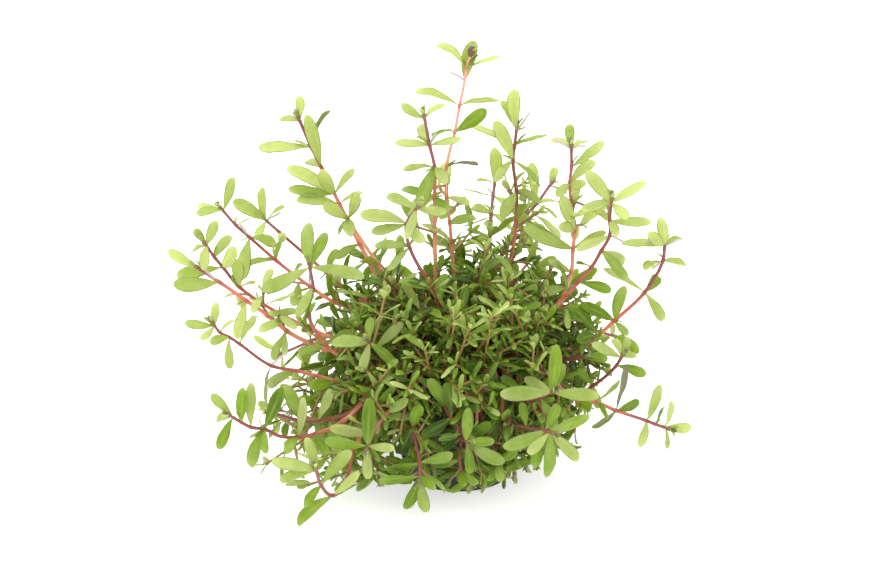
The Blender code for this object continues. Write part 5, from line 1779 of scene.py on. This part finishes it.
def turned(profile, name):
    """A closed mesh turned from a profile of (radius, height), whose two ends are on the axis."""
    points = [(0, 0, profile[0][1]), (0, 0, profile[-1][1])]
    for radius, height in profile[1:-1]:
        for angle in (math.tau * step / POT_STEPS for step in range(POT_STEPS)):
            points.append((radius * math.cos(angle), radius * math.sin(angle), height))
    rings = [range(first, first + POT_STEPS) for first in range(2, len(points), POT_STEPS)]
    faces = []
    for low, high in zip([[0] * POT_STEPS] + rings, rings + [[1] * POT_STEPS]):
        for here in range(POT_STEPS):
            there = (here + 1) % POT_STEPS
            corners = (low[here], low[there], high[there], high[here])
            faces.append(tuple(dict.fromkeys(corners)))
    mesh = bpy.data.meshes.new(name)
    mesh.from_pydata([[part * MM for part in point] for point in points], [], faces)
    return mesh


def pot_tree():
    """Cuts a ring of upright slots with round ends into the pot's wall."""
    tree = Geometry("rotala_pot_slots", {
        "Material": "Material", "Slots": "Int", "Slot Width": "Float", "Slot Bottom": "Float",
        "Slot Top": "Float", "Slot Radius": "Float", "Slot Depth": "Float"})
    width, slots = tree.given("Slot Width"), tree.given("Slots")
    bottom, top = tree.given("Slot Bottom"), tree.given("Slot Top")
    drum = tree.make("MeshCylinder", Vertices=SLOT_SIDES, Radius=width * 0.5,
                     Depth=tree.given("Slot Depth"))
    drum = tree.make("Transform", Geometry=drum, Rotation=(0.0, math.pi / 2, 0.0))
    _, _, half_way = tree.apart(tree.make("InputPosition"))
    stretch = half_way.sign() * (top - bottom - width) * 0.5
    cutter = tree.make("SetPosition", Geometry=drum, Offset=tree.vector(Z=stretch))
    circle = tree.make("MeshCircle", Vertices=slots, Radius=tree.given("Slot Radius"))
    circle = tree.make("Transform", Geometry=circle, Rotation=tree.vector(Z=math.pi / slots),
                       Translation=tree.vector(Z=(top + bottom) * 0.5))
    x, y, _ = tree.apart(tree.make("InputPosition"))
    angle = tree.add("ShaderNodeMath", {0: y, 1: x}, operation="ARCTAN2")
    cutters = tree.make("InstanceOnPoints", Points=circle, Instance=cutter,
                        Rotation=tree.vector(Z=angle))
    cutters = tree.make("RealizeInstances", Geometry=cutters)
    pot = tree.add("GeometryNodeMeshBoolean", {"Mesh 1": tree.given("Geometry"), "Mesh 2": cutters},
                   operation="DIFFERENCE", solver="MANIFOLD")
    return tree.finish(tree.make("SetMaterial", Geometry=pot, Material=tree.given("Material")))


def wool_tree():
    """Scatters loose curved fibres over the top of the wool."""
    tree = Geometry("rotala_wool_fibres", {
        "Material": "Material", "Fibres": "Float", "Fibre Length": "Float", "Fibre Radius": "Float",
        "Seed": "Int"})
    source, seed, length = tree.given("Geometry"), tree.given("Seed"), tree.given("Fibre Length")
    _, _, upward = tree.apart(tree.make("InputNormal"))
    faces_up = tree.add("FunctionNodeCompare", {0: upward, 1: 0.5}, operation="GREATER_THAN")
    points = tree.make("DistributePointsOnFaces", Mesh=source, Selection=faces_up,
                       Density=tree.given("Fibres"), Seed=seed)
    bend = tree.make("CurveQuadraticBezier", Resolution=5, Start=(0.0, 0.0, 0.0),
                     Middle=tree.vector(X=length * 0.5, Y=length * 0.2, Z=length * 0.22),
                     End=tree.vector(X=length, Z=length * 0.02))
    ring = tree.make("CurvePrimitiveCircle", Resolution=3, Radius=tree.given("Fibre Radius"))
    fibre = tree.make("CurveToMesh", Curve=bend, Profile_Curve=ring, Fill_Caps=True)
    turn = tree.add("FunctionNodeRandomValue",
                    {0: (-0.25, -0.25, 0.0), 1: (0.25, 0.25, math.tau), "Seed": seed},
                    data_type="FLOAT_VECTOR")
    size = tree.add("FunctionNodeRandomValue", {2: 0.5, 3: 1.3, "Seed": seed}, give=1,
                    data_type="FLOAT")
    fibres = tree.make("InstanceOnPoints", Points=points, Instance=fibre, Rotation=turn, Scale=size)
    both = tree.joined(source, tree.make("RealizeInstances", Geometry=fibres))
    return tree.finish(tree.make("SetMaterial", Geometry=both, Material=tree.given("Material")))


class ROTALA_OT_pot(Operator):
    """Make the black tapered pot with its rim and its slots"""
    bl_idname = "rotala.pot"
    bl_label = "Pot"

    def execute(self, context):
        look = context.scene.rotala_pot
        under_rim = POT_HEIGHT - POT_RIM_HEIGHT
        rim = POT_TOP_RADIUS + POT_RIM_WIDTH
        profile = (
            (0, 0), (POT_FOOT_RADIUS, 0), (pot_inner_radius(under_rim) + POT_WALL, under_rim),
            (rim, under_rim), (rim, POT_HEIGHT), (pot_inner_radius(POT_HEIGHT), POT_HEIGHT),
            (pot_inner_radius(POT_FLOOR), POT_FLOOR), (0, POT_FLOOR))
        rounded = fillet(profile, look.edge_radius / MM)
        pot = new_piece("slotted_pot", turned(rounded, "slotted_pot"))
        run_tree(pot, pot_tree(), {
            "Material": plastic_material(look), "Slots": SLOT_COUNT, "Slot Width": SLOT_WIDTH * MM,
            "Slot Bottom": SLOT_BOTTOM * MM, "Slot Top": SLOT_TOP * MM,
            "Slot Radius": (POT_FOOT_RADIUS + POT_TOP_RADIUS) / 2 * MM,
            "Slot Depth": POT_FOOT_RADIUS * MM})
        pot.data.set_sharp_from_angle(angle=math.radians(SHARP_FROM))
        stand_in_for(pot, "pot")
        return {"FINISHED"}


class ROTALA_OT_rock_wool(Operator):
    """Make the plug of rock wool with its loose fibres"""
    bl_idname = "rotala.rock_wool"
    bl_label = "Rock wool"

    def execute(self, context):
        look = context.scene.rotala_wool
        foot = POT_FLOOR + GAP
        rim = pot_inner_radius(WOOL_TOP) - GAP
        sides = [(pot_inner_radius(height) - GAP, height) for height in (foot, *WOOL_SIDES)]
        tops = [(rim * share, WOOL_TOP + WOOL_CROWN * (1 - share)) for share in WOOL_TOPS]
        profile = [(0, foot), *sides, (rim, WOOL_TOP - WOOL_EDGE), *tops]
        plug = new_piece("matted_wool", turned(profile, "matted_wool"))
        for corner in plug.data.vertices:
            lump = sum(noise.noise(corner.co * fine) * high for fine, high in WOOL_LUMPS)
            if corner.co.z > WOOL_TOP * WOOL_LUMPS_FROM * MM:
                corner.co.z += (lump - WOOL_LUMPS_DOWN) * MM
        plug.data.shade_smooth()
        run_tree(plug, wool_tree(), {
            "Material": wool_material(look), "Fibres": look.fibres / (math.pi * (rim * MM) ** 2),
            "Fibre Length": look.fibre_length, "Fibre Radius": FIBRE_RADIUS * MM,
            "Seed": FIBRE_SEED})
        stand_in_for(plug, "rock_wool")
        return {"FINISHED"}


def whole_shoot(name, stations, thicket, shown, dice):
    """The mesh that the tree reads for a shoot and all its side shoots."""
    blades = leaves_of(name, stations, dice)
    stout = SKIRT_RADIUS / STEM_FOOT if name.startswith("skirt") else STOUTER.get(name, 1.0)
    lines = [stem_line(stations, STEM_FOOT * stout, STEM_TIP * stout, ROOTED_BY,
                       BUD_SIZE.get(name, COMMON_BUD))]
    for sprout in sprouts_of(name, stations, thicket, shown, dice):
        blades += leaves_of("", sprout, dice)
        lines.append(stem_line(sprout, SPROUT_RADIUS, SPROUT_RADIUS * SPROUT_TIP, 0.0, SPROUT_BUD))
    return shoot_source(name, blades, lines, BLUSHES.get(name, dice.uniform(-1, 1)),
                        BUD_DUSK.get(name, dice.uniform(*COMMON_DUSK)))


class ROTALA_OT_shoots(Operator):
    """Grow every shoot: its stem, its leaves and its bud"""
    bl_idname = "rotala.shoots"
    bl_label = "Shoots"

    def execute(self, context):
        look = context.scene.rotala_leaf
        values = {
            "Leaf Material": leaf_material(look),
            "Stem Material": stem_material(context.scene.rotala_stem),
            "Stem Sides": STEM_SIDES, "Leaf Rings": LEAF_RINGS, "Leaf Segments": LEAF_SEGMENTS,
            "Leaf Thickness": look.thickness, "Rib Depth": look.rib_depth,
            "Stalk Width": look.stalk_width, "Margin Wave": look.margin_wave}
        group = shoot_tree()
        shoots = grow_clump()
        shown, thicket = Shown(shoots), Thicket(shoots)
        own = len(shoots)
        for skirt in SKIRTS:
            first = len(shoots) - own + 1
            shoots += skirt_shoots(skirt, thicket, shown, random.Random(SKIRT_SEED), first)
        for number, (name, stations) in enumerate(shoots):
            source = whole_shoot(name, stations, thicket, shown, random.Random(number))
            piece = new_piece("leafy_" + name, source)
            run_tree(piece, group, values)
            marks = piece.data.attributes
            for key in LEFT_BEHIND:
                if key in marks:
                    marks.remove(marks[key])
            if "shoot_" + name in SLOT_OF:
                stand_in_for(piece, "shoot_" + name)
            else:
                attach(piece, "root")
        return {"FINISHED"}


def new_lamp(name, power, size, place):
    """A square soft lamp that shines at the clump."""
    lamp = bpy.data.lights.new(name, "AREA")
    lamp.energy = power
    lamp.size = size
    light = new_piece(name, lamp)
    light.location = place
    light.rotation_euler = (Vector(LIT_PLACE) - Vector(place)).to_track_quat("-Z", "Y").to_euler()


class ROTALA_OT_stage(Operator):
    """Set the pale floor, the soft light and the camera of the front view"""
    bl_idname = "rotala.stage"
    bl_label = "Stage"

    def execute(self, context):
        scene = context.scene
        look = scene.rotala_stage
        scene.view_settings.view_transform = "Standard"
        half = look.floor_size / 2
        corners = [(-half, -half, 0), (half, -half, 0), (half, half, 0), (-half, half, 0)]
        mesh = bpy.data.meshes.new("floor")
        mesh.from_pydata(corners, [], [(0, 1, 2, 3)])
        floor = new_piece("floor", mesh)
        material, tree = new_material("pale_floor")
        color = tree.mix(tree.noise(SPOT_FINE) * SPOT_SHARE, look.floor_color, SPOT_COLOR)
        tree.show(tree.add("ShaderNodeBsdfPrincipled", {
            "Base Color": color, "Roughness": 0.9, "Specular IOR Level": 0.1,
            "Emission Color": (1, 1, 1, 1), "Emission Strength": look.floor_glow}))
        mesh.materials.append(material)

        world = scene.world or bpy.data.worlds.new("room")
        scene.world = world
        world.use_nodes = True
        backdrop = world.node_tree.nodes["Background"]
        backdrop.inputs["Color"].default_value = (1, 1, 1, 1)
        backdrop.inputs["Strength"].default_value = look.sky
        new_lamp("key", look.key_power, KEY_SIZE, KEY_PLACE)
        new_lamp("fill", look.fill_power, FILL_SIZE, FILL_PLACE)

        camera = bpy.data.cameras.new("camera")
        camera.lens = look.lens
        camera.clip_start = 0.01
        stand = new_piece("camera", camera)
        stand.location = EYE * MM
        stand.rotation_euler = (math.pi / 2 - VIEW_TILT, 0, 0)
        scene.camera = stand
        return {"FINISHED"}


SETTINGS = {"rotala_leaf": LeafSettings, "rotala_stem": StemSettings, "rotala_pot": PotSettings,
            "rotala_wool": WoolSettings, "rotala_stage": StageSettings}
OPERATORS = (ROTALA_OT_stage, ROTALA_OT_pot, ROTALA_OT_rock_wool, ROTALA_OT_shoots)


class ROTALA_PT_clump(Panel):
    """Lists the steps that dress the clump, with their sizes and colours"""
    bl_idname = "ROTALA_PT_clump"
    bl_label = "Laos dwarf rotala"
    bl_space_type = "VIEW_3D"
    bl_region_type = "UI"
    bl_category = "Rotala"

    def draw(self, context):
        for step in OPERATORS:
            self.layout.operator(step.bl_idname)
        for name, settings in SETTINGS.items():
            box = self.layout.box()
            box.label(text=settings.__doc__)
            for key in settings.__annotations__:
                box.prop(getattr(context.scene, name), key)


def register():
    for settings in SETTINGS.values():
        bpy.utils.register_class(settings)
    for kind in (*OPERATORS, ROTALA_PT_clump):
        bpy.utils.register_class(kind)
    for name, settings in SETTINGS.items():
        setattr(bpy.types.Scene, name, PointerProperty(type=settings))


def unregister():
    for name in SETTINGS:
        delattr(bpy.types.Scene, name)
    for kind in (ROTALA_PT_clump, *reversed(OPERATORS), *reversed(SETTINGS.values())):
        bpy.utils.unregister_class(kind)


def main():
    register()
    bpy.ops.rotala.stage()
    bpy.ops.rotala.pot()
    bpy.ops.rotala.rock_wool()
    bpy.ops.rotala.shoots()


if __name__ == "__main__":
    main()
